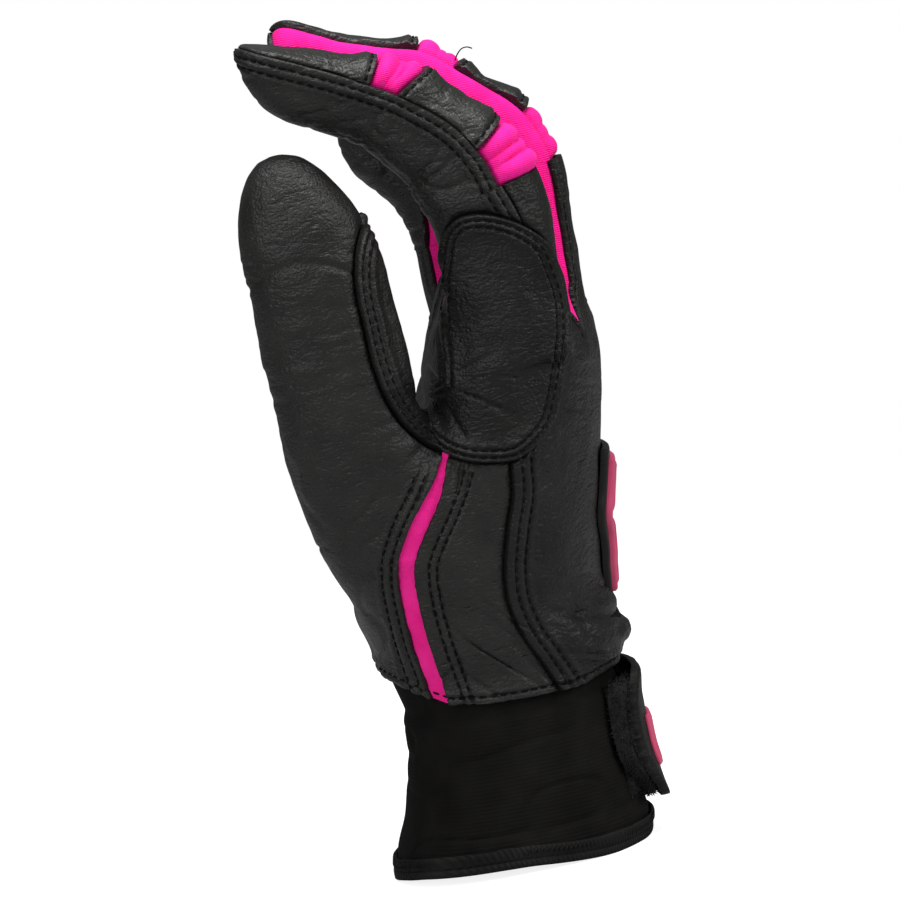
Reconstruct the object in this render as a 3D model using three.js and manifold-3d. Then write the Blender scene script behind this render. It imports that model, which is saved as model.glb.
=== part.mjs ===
// Right-hand batting glove, standing on the hem of its cuff.
// Units are millimetres. +Z runs up the fingers, +X out of the back of the hand,
// -X is the palm side, -Y the thumb side and +Y the little-finger side.
import * as THREE from 'three';
import { mergeVertices } from 'three/addons/utils/BufferGeometryUtils.js';
import Module from 'manifold-3d';

const wasm = await Module();
wasm.setup();

// Driving dimensions of the hand body
const webHeight = 138;
const palmDepth = 56;
const knuckleBreadth = 86;
const palmArch = 4.5;
const palmSquareness = 2.35;
const leatherThickness = 1.0;
const spandexThickness = 0.9;
const seamGap = 0.3;
const cutOverrun = 30;
const handLowShare = 0.26;
const aboveShare = 1.4;
const besideShare = 1.2;

// Driving dimensions of the cuff, hem and strap
const cuffThickness = 2.0;
const cuffTuck = 2.75;
const cuffClearance = 0.35;
const hemHeight = 4.6;
const hemTape = 0.8;
const loopPatchThickness = 0.8;
const loopPatchBreadth = 36;
const loopPatchHeight = 26;
const hookPatchThickness = 0.9;
const hookPatchHeight = 28;
const hookPatchBreadth = 20;
const hookPatchOverhang = 4.5;
const strapThickness = 1.8;
const strapHeight = 32;
const strapMiddleHeight = 24;
const strapReachThumbSide = 17;
const strapReachLittleSide = 24;
const strapBadgeThickness = 1.5;
const strapBadgeWidth = 17;
const strapBadgeHeight = 13;
const strapBadgeBorder = 5;

// Driving dimensions of the accent strip and the badge on the back
const accentWidth = 3.7;
const badgeBaseThickness = 1.0;
const badgeReliefThickness = 1.6;
const badgeHeight = 37;
const badgeWidth = 27;
const badgeBorder = 2.6;
const badgeMiddleHeight = 73;
const badgeMiddleSide = 2;

// Driving dimensions of the fingers
const indexLength = 111;
const middleLength = 111;
const ringLength = 97;
const littleLength = 69.5;
const fingerPitch = 21.6;
const fingerHalfWidth = 10.5;
const rootHalfThickness = 15;
const tipHalfThickness = 9.2;
const fingerSquareness = 2.5;
const fingertipLength = 12;
const fingertipLiftShare = 0.7;
const fingertipFlatShare = 0.03;
const fingertipWidthShare = 0.93;
const rootSeat = 14;
const rootSeatShare = 0.8;
const flexZone = 9.4;
const distalBandLength = 7.4;
const stubDepth = 20;
const wallHalfSpan = 9.2;
const webReachShare = 0.35;

// Driving dimensions of the thumb
const thumbCreaseRise = 1;
const thumbCreaseLength = 9;
const thumbTipLength = 29;
const thumbHalfWidth = 16.6;
const thumbHalfThickness = 12.4;
const thumbOutset = 36;
const thumbCreaseLow = webHeight + thumbCreaseRise;
const thumbCreaseHigh = thumbCreaseLow + thumbCreaseLength;
const thumbTop = thumbCreaseHigh + thumbTipLength;

// Leather and fabric colours
const leatherBlack = { color: 0x282827, roughness: 0.62, metalness: 0 };
const neopreneBlack = { color: 0x191819, roughness: 0.92, metalness: 0 };
const hotPink = { color: 0xff1b9c, roughness: 0.72, metalness: 0 };
const rubberPink = { color: 0xd6456f, roughness: 0.5, metalness: 0 };
const rubberBlack = { color: 0x161617, roughness: 0.55, metalness: 0 };
const hookBlack = { color: 0x101011, roughness: 1, metalness: 0 };

const group = new THREE.Group();
group.name = 'batting_glove';

// Adds one named sub-part to the glove
function addPart(name, geometry, look) {
  const mesh = new THREE.Mesh(geometry, new THREE.MeshStandardMaterial(look));
  mesh.name = name;
  group.add(mesh);
  return mesh;
}

// Signed power that squares off a circle into a superellipse
function squared(value, squareness) {
  return Math.sign(value) * Math.abs(value) ** (2 / squareness);
}

// Straight-line reading of column number `column` of a table whose first column rises
function readTable(rows, key, column) {
  const last = rows.length - 1;
  if (key <= rows[0][0]) return rows[0][column];
  if (key >= rows[last][0]) return rows[last][column];
  const next = rows.findIndex((row) => row[0] > key);
  const low = rows[next - 1];
  const high = rows[next];
  const part = (key - low[0]) / (high[0] - low[0]);
  return low[column] + (high[column] - low[column]) * part;
}

// Builds a geometry from points and index triples
function indexedGeometry(points, triangles) {
  const geometry = new THREE.BufferGeometry();
  const flat = points.flatMap((point) => [point.x, point.y, point.z]);
  geometry.setAttribute('position', new THREE.Float32BufferAttribute(flat, 3));
  geometry.setIndex(triangles);
  return geometry;
}

// Two triangles across the quad a-b-c-d
function quad(a, b, c, d) {
  return [a, b, c, a, c, d];
}

// Closed solid through a stack of rings of equal count, each seen anticlockwise from above
function loftGeometry(rings) {
  const count = rings[0].length;
  const points = rings.flat();
  const triangles = [];
  for (let level = 0; level < rings.length - 1; level++) {
    for (let i = 0; i < count; i++) {
      const j = (i + 1) % count;
      const low = level * count;
      const high = low + count;
      triangles.push(...quad(low + i, low + j, high + j, high + i));
    }
  }
  for (const [ring, top] of [[rings[0], false], [rings[rings.length - 1], true]]) {
    const middle = ring.reduce((sum, point) => sum.add(point), new THREE.Vector3());
    points.push(middle.divideScalar(count));
    const start = top ? (rings.length - 1) * count : 0;
    for (let i = 0; i < count; i++) {
      const j = (i + 1) % count;
      if (top) triangles.push(start + i, start + j, points.length - 1);
      else triangles.push(start + j, start + i, points.length - 1);
    }
  }
  return indexedGeometry(points, triangles);
}

// Closed band: a profile of (inset, height) points swept round a family of rings
function bandGeometry(ringAt, profile) {
  const rings = profile.map(([inset, height]) => ringAt(height, inset));
  const count = rings[0].length;
  const triangles = [];
  for (let k = 0; k < rings.length; k++) {
    const here = k * count;
    const there = ((k + 1) % rings.length) * count;
    for (let i = 0; i < count; i++) {
      const j = (i + 1) % count;
      triangles.push(...quad(here + i, here + j, there + j, there + i));
    }
  }
  return indexedGeometry(rings.flat(), triangles);
}

// Closed sheet between two grids of points; rows run one way and columns the other
function sheetGeometry(outer, inner) {
  const rows = outer.length;
  const columns = outer[0].length;
  const points = [...outer.flat(), ...inner.flat()];
  const size = rows * columns;
  const at = (row, column) => row * columns + column;
  const triangles = [];
  for (let row = 0; row < rows - 1; row++) {
    for (let column = 0; column < columns - 1; column++) {
      const a = at(row, column);
      const b = at(row, column + 1);
      const c = at(row + 1, column + 1);
      const d = at(row + 1, column);
      triangles.push(...quad(a, b, c, d));
      triangles.push(...quad(size + d, size + c, size + b, size + a));
    }
  }
  const wall = (a, b) => triangles.push(...quad(b, a, size + a, size + b));
  for (let column = 0; column < columns - 1; column++) {
    wall(at(0, column), at(0, column + 1));
    wall(at(rows - 1, column + 1), at(rows - 1, column));
  }
  for (let row = 0; row < rows - 1; row++) {
    wall(at(row + 1, 0), at(row, 0));
    wall(at(row, columns - 1), at(row + 1, columns - 1));
  }
  return indexedGeometry(points, triangles);
}

// Turns a closed geometry into a solid that can be joined and cut
function toSolid(geometry) {
  const plain = geometry.clone();
  plain.deleteAttribute('normal');
  plain.deleteAttribute('uv');
  const merged = mergeVertices(plain, 1e-4);
  const vertProperties = new Float32Array(merged.attributes.position.array);
  const triVerts = new Uint32Array(merged.index.array);
  return new wasm.Manifold(new wasm.Mesh({ numProp: 3, vertProperties, triVerts }));
}

// Turns a solid back into a geometry
function toGeometry(solid) {
  const mesh = solid.getMesh();
  const geometry = new THREE.BufferGeometry();
  const places = [];
  for (let i = 0; i < mesh.vertProperties.length; i += mesh.numProp) {
    places.push(...mesh.vertProperties.slice(i, i + 3));
  }
  geometry.setAttribute('position', new THREE.Float32BufferAttribute(places, 3));
  geometry.setIndex([...mesh.triVerts]);
  return geometry;
}

// Solid block over an outline of [x, z] points, running from y = near to y = far
function prism(outline, near, far) {
  const shape = new THREE.Shape(outline.map(([x, z]) => new THREE.Vector2(x, z)));
  const geometry = new THREE.ExtrudeGeometry(shape, { depth: far - near, bevelEnabled: false });
  geometry.rotateX(Math.PI / 2);
  geometry.translate(0, far, 0);
  return toSolid(geometry);
}

// Outline moved sideways by `distance`, to the left of its direction of travel
function offsetPath(path, distance) {
  return path.map(([x, z], i) => {
    const before = path[Math.max(i - 1, 0)];
    const after = path[Math.min(i + 1, path.length - 1)];
    const length = Math.hypot(after[0] - before[0], after[1] - before[1]);
    const nx = -(after[1] - before[1]) / length;
    const nz = (after[0] - before[0]) / length;
    return [x + nx * distance, z + nz * distance];
  });
}

// Reads [x share of palm depth, z share of web height] rows as millimetres
function handPath(shares) {
  return shares.map(([x, z]) => [x * palmDepth, z * webHeight]);
}

// Hand section by height: height share of web height, palm face and back face as shares
// of palm depth, then half breadth as a share of knuckle breadth
const palmShares = [
  [0, -0.527, 0.554, 0.376],
  [0.036, -0.509, 0.568, 0.376],
  [0.094, -0.454, 0.562, 0.365],
  [0.145, -0.42, 0.555, 0.359],
  [0.217, -0.386, 0.55, 0.347],
  [0.268, -0.382, 0.55, 0.341],
  [0.326, -0.429, 0.585, 0.353],
  [0.362, -0.459, 0.625, 0.371],
  [0.395, -0.46, 0.6, 0.386],
  [0.435, -0.455, 0.565, 0.4],
  [0.543, -0.42, 0.595, 0.435],
  [0.652, -0.268, 0.654, 0.459],
  [0.761, -0.107, 0.705, 0.478],
  [0.841, -0.027, 0.732, 0.49],
  [0.913, 0.045, 0.729, 0.494],
  [0.985, 0.098, 0.705, 0.49],
  [1.015, 0.16, 0.66, 0.475],
  [1.035, 0.26, 0.58, 0.44],
];

// Ring of points round the hand or cuff at one height, drawn in by `inset`
function palmRing(height, inset, count = 32) {
  const key = height / webHeight;
  const front = readTable(palmShares, key, 1) * palmDepth;
  const back = readTable(palmShares, key, 2) * palmDepth;
  const halfBreadth = readTable(palmShares, key, 3) * knuckleBreadth;
  const middle = (front + back) / 2;
  const halfDepth = (back - front) / 2;
  const ring = [];
  for (let i = 0; i < count; i++) {
    const angle = (2 * Math.PI * i) / count;
    const across = squared(Math.sin(angle), palmSquareness);
    const x = middle + (halfDepth - inset) * squared(Math.cos(angle), palmSquareness);
    const arch = palmArch * across * across * Math.min(key, 1);
    ring.push(new THREE.Vector3(x - arch, (halfBreadth - inset) * across, height));
  }
  return ring;
}

// Thumb section by height: height share of thumb top, centre as a share of palm depth,
// half width as a share of the thumb's, sideways centre as a share of its outset, and
// half thickness as a share of the thumb's
const thumbShares = [
  [0.31, -0.02, 1.1, 0.3, 1.2],
  [0.37, -0.09, 1.34, 0.42, 1.3],
  [0.43, -0.165, 1.38, 0.56, 1.28],
  [0.49, -0.245, 1.26, 0.68, 1.2],
  [0.55, -0.3, 1.12, 0.78, 1.1],
  [0.61, -0.342, 1.02, 0.87, 1.04],
  [0.69, -0.357, 1, 0.95, 1],
  [0.77, -0.366, 0.98, 1, 1],
  [0.85, -0.376, 0.955, 1.04, 0.99],
  [0.9, -0.392, 0.88, 1.06, 0.95],
  [0.94, -0.42, 0.74, 1.07, 0.86],
  [0.97, -0.435, 0.56, 1.07, 0.68],
  [0.99, -0.44, 0.38, 1.07, 0.42],
  [1, -0.445, 0.14, 1.07, 0.16],
];

// Ring of points round the thumb at one height
function thumbRing(height, inset, count = 20) {
  const key = height / thumbTop;
  const x = readTable(thumbShares, key, 1) * palmDepth;
  const halfWidth = readTable(thumbShares, key, 2) * thumbHalfWidth - inset;
  const y = -readTable(thumbShares, key, 3) * thumbOutset;
  const halfThickness = readTable(thumbShares, key, 4) * thumbHalfThickness - inset;
  const ring = [];
  for (let i = 0; i < count; i++) {
    const angle = (2 * Math.PI * i) / count;
    const px = x + halfWidth * squared(Math.cos(angle), palmSquareness);
    ring.push(new THREE.Vector3(px, y + halfThickness * squared(Math.sin(angle), palmSquareness), height));
  }
  return ring;
}

// The four fingers: length, place across the hand, root place as a share of palm depth,
// phalanges as shares of the length, leans from upright toward the palm, splay, thickness
// shares at root and tip, hinge and band as shares of the length, and the side, if any,
// that has a seam in place of a wall
const fingers = [
  {
    name: 'index', length: indexLength, slot: -1.5, rootShare: 0.391,
    phalanxShares: [0.423, 0.243, 0.334], leans: [1, 46, 61.5], splay: -3,
    rootHalfShare: 0.96, tipHalfShare: 1, hingeShare: 0.401, bandShare: 0.648, seamSide: -1,
  },
  {
    name: 'middle', length: middleLength, slot: -0.5, rootShare: 0.468,
    phalanxShares: [0.437, 0.234, 0.329], leans: [-3, 48, 63], splay: 0,
    rootHalfShare: 1, tipHalfShare: 0.783, hingeShare: 0.414, bandShare: 0.635, seamSide: 0,
  },
  {
    name: 'ring', length: ringLength, slot: 0.5, rootShare: 0.402,
    phalanxShares: [0.474, 0.258, 0.268], leans: [0, 48, 74], splay: 1.2,
    rootHalfShare: 0.88, tipHalfShare: 0.935, hingeShare: 0.438, bandShare: 0.68, seamSide: 0,
  },
  {
    name: 'little', length: littleLength, slot: 1.5, rootShare: 0.257,
    phalanxShares: [0.475, 0.245, 0.28], leans: [4, 37, 52], splay: 6,
    rootHalfShare: 0.747, tipHalfShare: 0.891, hingeShare: 0.446, bandShare: 0.705, seamSide: 1,
  },
];

// Shares of each phalanx at which its finger's centreline has a point
const bendShares = [[0.4, 0.78], [0.24, 0.74], [0.3, 1]];

// Smooth centreline of a finger through points along its three phalanges
function fingerCurve(finger) {
  let corner = new THREE.Vector3(finger.rootX, finger.slot * fingerPitch, webHeight - stubDepth);
  const points = [corner.clone()];
  finger.phalanxShares.forEach((phalanxShare, i) => {
    const length = phalanxShare * finger.length;
    const lean = THREE.MathUtils.degToRad(finger.leans[i]);
    const aside = i === 0 ? 0 : Math.tan(THREE.MathUtils.degToRad(finger.splay));
    const along = new THREE.Vector3(-Math.sin(lean), aside, Math.cos(lean));
    for (const share of bendShares[i]) {
      points.push(corner.clone().addScaledVector(along, length * share));
    }
    corner = corner.clone().addScaledVector(along, length);
  });
  return new THREE.CatmullRomCurve3(points, false, 'centripetal');
}

for (const finger of fingers) {
  finger.rootX = finger.rootShare * palmDepth;
  finger.hingeAt = finger.hingeShare * finger.length;
  finger.bandAt = finger.bandShare * finger.length;
  finger.curve = fingerCurve(finger);
  finger.length = finger.curve.getLength();
}

// Directions at a distance along a finger: along it, across it and out of its back
function fingerFrame(finger, distance) {
  const share = THREE.MathUtils.clamp(distance / finger.length, 0, 1);
  const place = finger.curve.getPointAt(share);
  const along = finger.curve.getTangentAt(share);
  const across = new THREE.Vector3(0, 1, 0).addScaledVector(along, -along.y).normalize();
  const out = new THREE.Vector3().crossVectors(across, along).normalize();
  return { place, along, across, out };
}

// Half thickness and half width of a finger at a distance along it
function fingerSize(finger, distance) {
  const share = THREE.MathUtils.clamp(distance / finger.length, 0, 1);
  const half = THREE.MathUtils.lerp(finger.rootHalfShare * rootHalfThickness,
    finger.tipHalfShare * tipHalfThickness, share);
  const left = finger.length - distance;
  const into = THREE.MathUtils.clamp(1 - left / fingertipLength, 0, 1);
  const rounding = Math.sqrt(Math.max(1 - into * into, fingertipFlatShare));
  const seat = THREE.MathUtils.clamp(distance / rootSeat, 0, 1);
  const seated = THREE.MathUtils.lerp(rootSeatShare, 1, seat);
  const width = fingerHalfWidth * THREE.MathUtils.lerp(1, fingertipWidthShare, share);
  const lift = half * (1 - rounding) * fingertipLiftShare;
  return { half: half * rounding * seated, width: width * rounding * seated, lift };
}

// Point on a finger's surface, drawn in by `inset`; angle 0 is its back, 90 its +Y side
function fingerPoint(finger, distance, angle, inset) {
  const { place, across, out } = fingerFrame(finger, distance);
  const { half, width, lift } = fingerSize(finger, distance);
  const rise = lift + Math.max(half - inset, inset / 2) * squared(Math.cos(angle), fingerSquareness);
  const side = Math.max(width - inset, inset / 2) * squared(Math.sin(angle), fingerSquareness);
  return place.clone().addScaledVector(out, rise).addScaledVector(across, side);
}

// Ring of points round a finger
function fingerRing(finger, distance, inset, count = 18) {
  const ring = [];
  for (let i = 0; i < count; i++) {
    ring.push(fingerPoint(finger, distance, (2 * Math.PI * i) / count, inset));
  }
  return ring;
}

// Evenly spaced values from one number to another
function steps(from, to, count) {
  return Array.from({ length: count + 1 }, (_, i) => from + ((to - from) * i) / count);
}

// Finger solid from one distance to another
function fingerSolid(finger, from, to, inset) {
  const levels = steps(from, to, 5).map((distance) => fingerRing(finger, distance, inset));
  return toSolid(loftGeometry(levels));
}

// Distances that a panel's rows stand at, closer together where they round the tip
const tipRowShares = [0.4, 0.7, 0.88, 0.96];

function panelSteps(finger, low, high, rows) {
  if (high < finger.length) return steps(low, high, rows);
  const turn = finger.length - fingertipLength;
  const rounding = tipRowShares.map((share) => turn + fingertipLength * share);
  return [...steps(low, turn, rows), ...rounding, high];
}

// One panel of a finger's skin, between two distances and two angles in degrees
function fingerPanel(finger, from, to, startAngle, endAngle, thickness, rows, columns) {
  const gap = seamGap / 2;
  const turn = THREE.MathUtils.degToRad;
  const low = from + gap;
  const high = to >= finger.length ? finger.length : to - gap;
  const grid = (inset, lead) => panelSteps(finger, low, high, rows).map((step) => {
    const distance = Math.min(step, high - lead);
    const { half, width } = fingerSize(finger, distance);
    const slack = gap / Math.max(Math.min(half, width), seamGap * 4);
    return steps(turn(startAngle) + slack, turn(endAngle) - slack, columns)
      .map((angle) => fingerPoint(finger, distance, angle, inset));
  });
  const lead = to >= finger.length ? thickness : 0;
  return sheetGeometry(grid(0, 0), grid(thickness, lead));
}

// Palm, thumb and finger stubs joined, from `bottom` up; `inset` draws the whole skin in
function handSolid(inset, bottom) {
  const levels = palmShares.map((row) => row[0] * webHeight).filter((height) => height > bottom);
  const top = levels.length - 1;
  levels[top] -= inset;
  const palm = toSolid(loftGeometry([bottom, ...levels].map((height) => palmRing(height, inset))));
  const rings = thumbShares.map(([share], i) => {
    const raise = i === 0 ? inset : 0;
    const drop = i === thumbShares.length - 1 ? inset * 2 : 0;
    const ring = thumbRing(share * thumbTop + raise, inset);
    return ring.map((point) => point.setZ(point.z - drop));
  });
  let body = palm.add(toSolid(loftGeometry(rings)));
  for (const finger of fingers) {
    const reach = finger.hingeAt - flexZone / 2 + (inset > 0 ? cutOverrun / 10 : 0);
    body = body.add(fingerSolid(finger, 0, reach, inset));
  }
  return body;
}

// Lower edge of the leather, where the cuff comes out, as shares of the hand sizes
const leatherEdgeShares = [
  [-0.8, 0.37], [-0.459, 0.364], [-0.386, 0.348], [-0.298, 0.329], [-0.186, 0.304],
  [-0.01, 0.293], [0.21, 0.29], [0.4, 0.289], [0.5, 0.3], [0.6, 0.297], [1.1, 0.297],
];
const palmEdgeShare = leatherEdgeShares[1][1];
const cuffTop = palmEdgeShare * webHeight + cuffTuck;

// Outline that cuts the leather away below its edge
function belowLeather() {
  const edge = handPath(leatherEdgeShares);
  return [[edge[0][0], -cutOverrun], [edge.at(-1)[0], -cutOverrun], ...edge.reverse()];
}

const leatherLow = handLowShare * webHeight;
const handShell = handSolid(0, leatherLow)
  .subtract(handSolid(leatherThickness, leatherLow - cutOverrun / 3))
  .subtract(prism(belowLeather(), -knuckleBreadth, knuckleBreadth));

// Outer seam of the crotch gusset, from the tab on the thumb round to the crotch
const gussetShares = [
  [-0.107, 1.143], [-0.171, 1.1], [-0.214, 1.016], [-0.211, 0.964], [-0.202, 0.893],
  [-0.171, 0.83], [-0.118, 0.782], [-0.03, 0.74], [0.064, 0.715], [0.186, 0.7],
  [0.291, 0.697], [0.386, 0.716], [0.462, 0.744], [0.512, 0.784], [0.557, 0.833],
  [0.605, 0.899], [0.618, 0.95], [0.604, 0.995], [0.575, 1.041], [0.512, 1.072],
  [0.418, 1.097], [0.316, 1.11], [0.23, 1.107], [0.179, 1.09], [0.138, 1.049],
  [0.098, 0.991], [0.07, 0.924], [0.054, 0.872], [0.036, 0.842],
];
const crotchShares = [[0.012, 0.85], [-0.01, 0.9], [-0.02, 0.97], [-0.03, 1.05], [-0.035, 1.15]];
const gussetFarShare = -0.335;
const gussetLowShare = 0.5;

// Middle of the accent strip and the seam toward the back, both read upward from the cuff
const accentShares = [
  [-0.185, 0.25], [-0.205, 0.313], [-0.229, 0.364], [-0.254, 0.429], [-0.266, 0.484],
  [-0.266, 0.519], [-0.243, 0.56], [-0.196, 0.595], [-0.096, 0.643], [-0.018, 0.682], [0.05, 0.73],
];
const backSeamShares = [
  [0.31, 0.25], [0.288, 0.291], [0.246, 0.338], [0.184, 0.397], [0.15, 0.458], [0.163, 0.52],
  [0.202, 0.578], [0.255, 0.645], [0.27, 0.693], [0.32, 0.76], [0.4, 0.85], [0.45, 1], [0.46, 1.2],
];
const ulnarSeamShares = [
  [0.11, 0.25], [0.13, 0.45], [0.17, 0.65], [0.24, 0.83], [0.29, 0.93], [0.29, 1.2],
];

const handLeft = -palmDepth * besideShare;
const handRight = palmDepth * besideShare;
const nearSide = -knuckleBreadth;
const farSide = knuckleBreadth;

// Outline of everything between two upward paths
function between(leftPath, rightPath) {
  return [...rightPath, ...[...leftPath].reverse()];
}

// Upward edge at one x
function upright(x) {
  return [[x, 0], [x, webHeight * aboveShare]];
}

const halfGap = seamGap / 2;
const accentPath = handPath(accentShares);
const backSeam = handPath(backSeamShares);
const ulnarSeam = handPath(ulnarSeamShares);

// Block that the crotch gusset is cut with, grown by `grow` past its seam; on the back
// half of the hand it stops at the middle of the index finger
function gussetBlock(grow) {
  const outline = offsetPath(handPath([...gussetShares, ...crotchShares]), -grow);
  const middleX = fingers[0].rootX;
  const low = webHeight * gussetLowShare;
  const high = webHeight * aboveShare;
  const palmHalf = prism([[handLeft, low], [middleX, low], [middleX, high], [handLeft, high]],
    nearSide, gussetFarShare * knuckleBreadth + grow);
  const nearHalf = prism(outline, nearSide, fingers[0].slot * fingerPitch + grow);
  return prism(outline, nearSide, farSide).intersect(palmHalf).add(nearHalf);
}

// Block over everything above a height on the thumb
const thumbRightShare = -0.02;

function aboveThumb(height) {
  const right = thumbRightShare * palmDepth;
  const high = thumbTop * besideShare;
  return prism([[handLeft, height], [right, height], [right, high], [handLeft, high]],
    nearSide, farSide);
}

// Block over the space between two neighbouring finger stubs
function webBlock(left, right, grow) {
  const span = wallHalfSpan + grow;
  const low = webHeight - flexZone - grow;
  const high = webHeight * aboveShare;
  const leftSide = left.slot * fingerPitch + fingerHalfWidth * webReachShare - grow;
  const rightSide = right.slot * fingerPitch - fingerHalfWidth * webReachShare + grow;
  const middle = (left.slot + right.slot) / 2 * fingerPitch;
  const block = (x, near, far) => prism(
    [[x - span, low], [x + span, low], [x + span, high], [x - span, high]], near, far);
  return block(left.rootX, leftSide, middle + grow / 10)
    .add(block(right.rootX, middle - grow / 10, rightSide));
}

// Splits the hand shell into its sewn panels
function makeHandPanels() {
  const thumbPart = handShell.intersect(aboveThumb(thumbCreaseLow));
  const belowThumb = handShell.subtract(aboveThumb(thumbCreaseLow - seamGap));
  makeThumbPanels(thumbPart);
  addPart('crotch_gusset', toGeometry(belowThumb.intersect(gussetBlock(0))), leatherBlack);
  let rest = belowThumb.subtract(gussetBlock(seamGap));
  for (let i = 0; i < fingers.length - 1; i++) {
    const web = rest.intersect(webBlock(fingers[i], fingers[i + 1], 0));
    addPart(`${fingers[i].name}_${fingers[i + 1].name}_web`, toGeometry(web), hotPink);
    rest = rest.subtract(webBlock(fingers[i], fingers[i + 1], seamGap));
  }
  const accentLeft = offsetPath(accentPath, accentWidth / 2);
  const accentRight = offsetPath(accentPath, -accentWidth / 2);
  const accent = prism(between(accentLeft, accentRight), nearSide, -halfGap);
  addPart('accent_strip', toGeometry(rest.intersect(accent)), hotPink);
  const lowBackSeam = backSeam.slice(0, -4);
  const side = prism(
    between(offsetPath(accentRight, -seamGap), offsetPath(lowBackSeam, halfGap)),
    nearSide, -halfGap);
  addPart('side_panel', toGeometry(rest.intersect(side)), leatherBlack);
  const back = prism(between(offsetPath(backSeam, -halfGap), upright(handRight)), nearSide, 0)
    .add(prism(between(offsetPath(ulnarSeam, -halfGap), upright(handRight)), 0, farSide));
  addPart('back_panel', toGeometry(rest.intersect(back)), leatherBlack);
  const palmEdge = [...offsetPath(accentLeft, seamGap), ...offsetPath(backSeam, halfGap).slice(-3)];
  const palm = prism(between(upright(handLeft), palmEdge), nearSide, 0)
    .add(prism(between(upright(handLeft), offsetPath(ulnarSeam, halfGap)), 0, farSide));
  addPart('palm_leather', toGeometry(rest.intersect(palm)), leatherBlack);
}

// Seam between the thumb's cap and the gusset's upper strip, read upward: shares of palm
// depth, and of the thumb tip's length above its crease
const thumbSeamShares = [[-0.214, -0.27], [-0.171, 0.13], [-0.107, 0.417]];

// Splits the thumb above its crease into the moving cap and the gusset's upper strip
function makeThumbPanels(thumbPart) {
  const upper = thumbPart.intersect(aboveThumb(thumbCreaseHigh + seamGap));
  const crease = thumbPart.subtract(aboveThumb(thumbCreaseHigh));
  addPart('thumb_crease', toGeometry(crease), leatherBlack);
  const seam = thumbSeamShares
    .map(([x, z]) => [x * palmDepth, thumbCreaseHigh + z * thumbTipLength]);
  const seamTop = seam.at(-1)[1];
  const outline = [...seam, [0, seamTop], [0, thumbCreaseLow]];
  const clear = [
    ...offsetPath(seam, seamGap), [seamGap, seamTop + seamGap], [seamGap, thumbCreaseLow]];
  addPart('thumb_strip', toGeometry(upper.intersect(prism(outline, nearSide, farSide))), leatherBlack);
  addPart('thumb_cap', toGeometry(upper.subtract(prism(clear, nearSide, farSide))), leatherBlack);
}

// Angles that bound a finger's back, walls and front, in degrees from its back
const wallTopAngle = 50;
const wallLowAngle = 124;
const seamAngle = 74;
const fullTurn = 360;

function fingerAngles(finger, side) {
  if (finger.seamSide === side) return { back: seamAngle, front: seamAngle };
  return { back: wallTopAngle, front: wallLowAngle };
}

// The moving part of one finger, with its two stretch bands
function makeFinger(finger) {
  const low = finger.hingeAt - flexZone / 2;
  const high = finger.hingeAt + flexZone / 2;
  const bandLow = finger.bandAt - distalBandLength / 2;
  const bandHigh = finger.bandAt + distalBandLength / 2;
  const end = finger.length;
  const near = fingerAngles(finger, -1);
  const far = fingerAngles(finger, 1);
  const backPanel = (from, to, thickness, rows) =>
    fingerPanel(finger, from, to, -near.back, far.back, thickness, rows, 6);
  const { name } = finger;
  addPart(`${name}_knuckle_band`, backPanel(low, high, spandexThickness, 2), hotPink);
  addPart(`${name}_middle_back`, backPanel(high, bandLow, leatherThickness, 4), leatherBlack);
  addPart(`${name}_tip_band`, backPanel(bandLow, bandHigh, spandexThickness, 2), hotPink);
  addPart(`${name}_tip_back`, backPanel(bandHigh, end, leatherThickness, 2), leatherBlack);
  addPart(`${name}_front`,
    fingerPanel(finger, high, end, far.front, fullTurn - near.front, leatherThickness, 6, 6),
    leatherBlack);
  addPart(`${name}_crease`,
    fingerPanel(finger, low, high, far.back, fullTurn - near.back, leatherThickness, 2, 8),
    leatherBlack);
  if (finger.seamSide !== 1) {
    addPart(`${name}_wall_little_side`,
      fingerPanel(finger, high, end, wallTopAngle, wallLowAngle, spandexThickness, 5, 2), hotPink);
  }
  if (finger.seamSide !== -1) {
    addPart(`${name}_wall_thumb_side`,
      fingerPanel(finger, high, end, -wallLowAngle, -wallTopAngle, spandexThickness, 5, 2), hotPink);
  }
}

// Heights between which the cuff draws in under the leather, as shares of web height
const tuckShares = [0.262, 0.28, 0.285];

// How far the cuff's outer face lies inside the hand's at one height
function cuffInset(height) {
  const full = leatherThickness + cuffClearance;
  const [start, end] = tuckShares.map((share) => share * webHeight);
  return full * THREE.MathUtils.clamp((height - start) / (end - start), 0, 1);
}

// Heights of the hand's section table that lie between two heights
function sectionsBetween(low, high) {
  return palmShares.map((row) => row[0] * webHeight)
    .filter((height) => height > low && height < high);
}

// Cuff tube, tucked up inside the leather, with its hem binding
function makeCuff() {
  const low = hemTape + seamGap;
  const heights = [low, ...sectionsBetween(low, cuffTop), tuckShares.at(-1) * webHeight, cuffTop]
    .sort((a, b) => a - b);
  const outer = heights.map((height) => [cuffInset(height), height]);
  const inner = [...heights].reverse().map((height) => [cuffInset(height) + cuffThickness, height]);
  addPart('cuff_band', bandGeometry(palmRing, [...outer, ...inner]), neopreneBlack);
  const outside = -seamGap - hemTape;
  const inside = cuffThickness + seamGap;
  addPart('cuff_hem', bandGeometry(palmRing, [
    [outside, 0], [outside, hemHeight], [-seamGap, hemHeight], [-seamGap, hemTape],
    [inside, hemTape], [inside, hemHeight], [inside + hemTape, hemHeight], [inside + hemTape, 0],
  ]), neopreneBlack);
}

// How near a point on the back may come to the hand's side edge
const backEdgeShare = 0.995;

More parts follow.
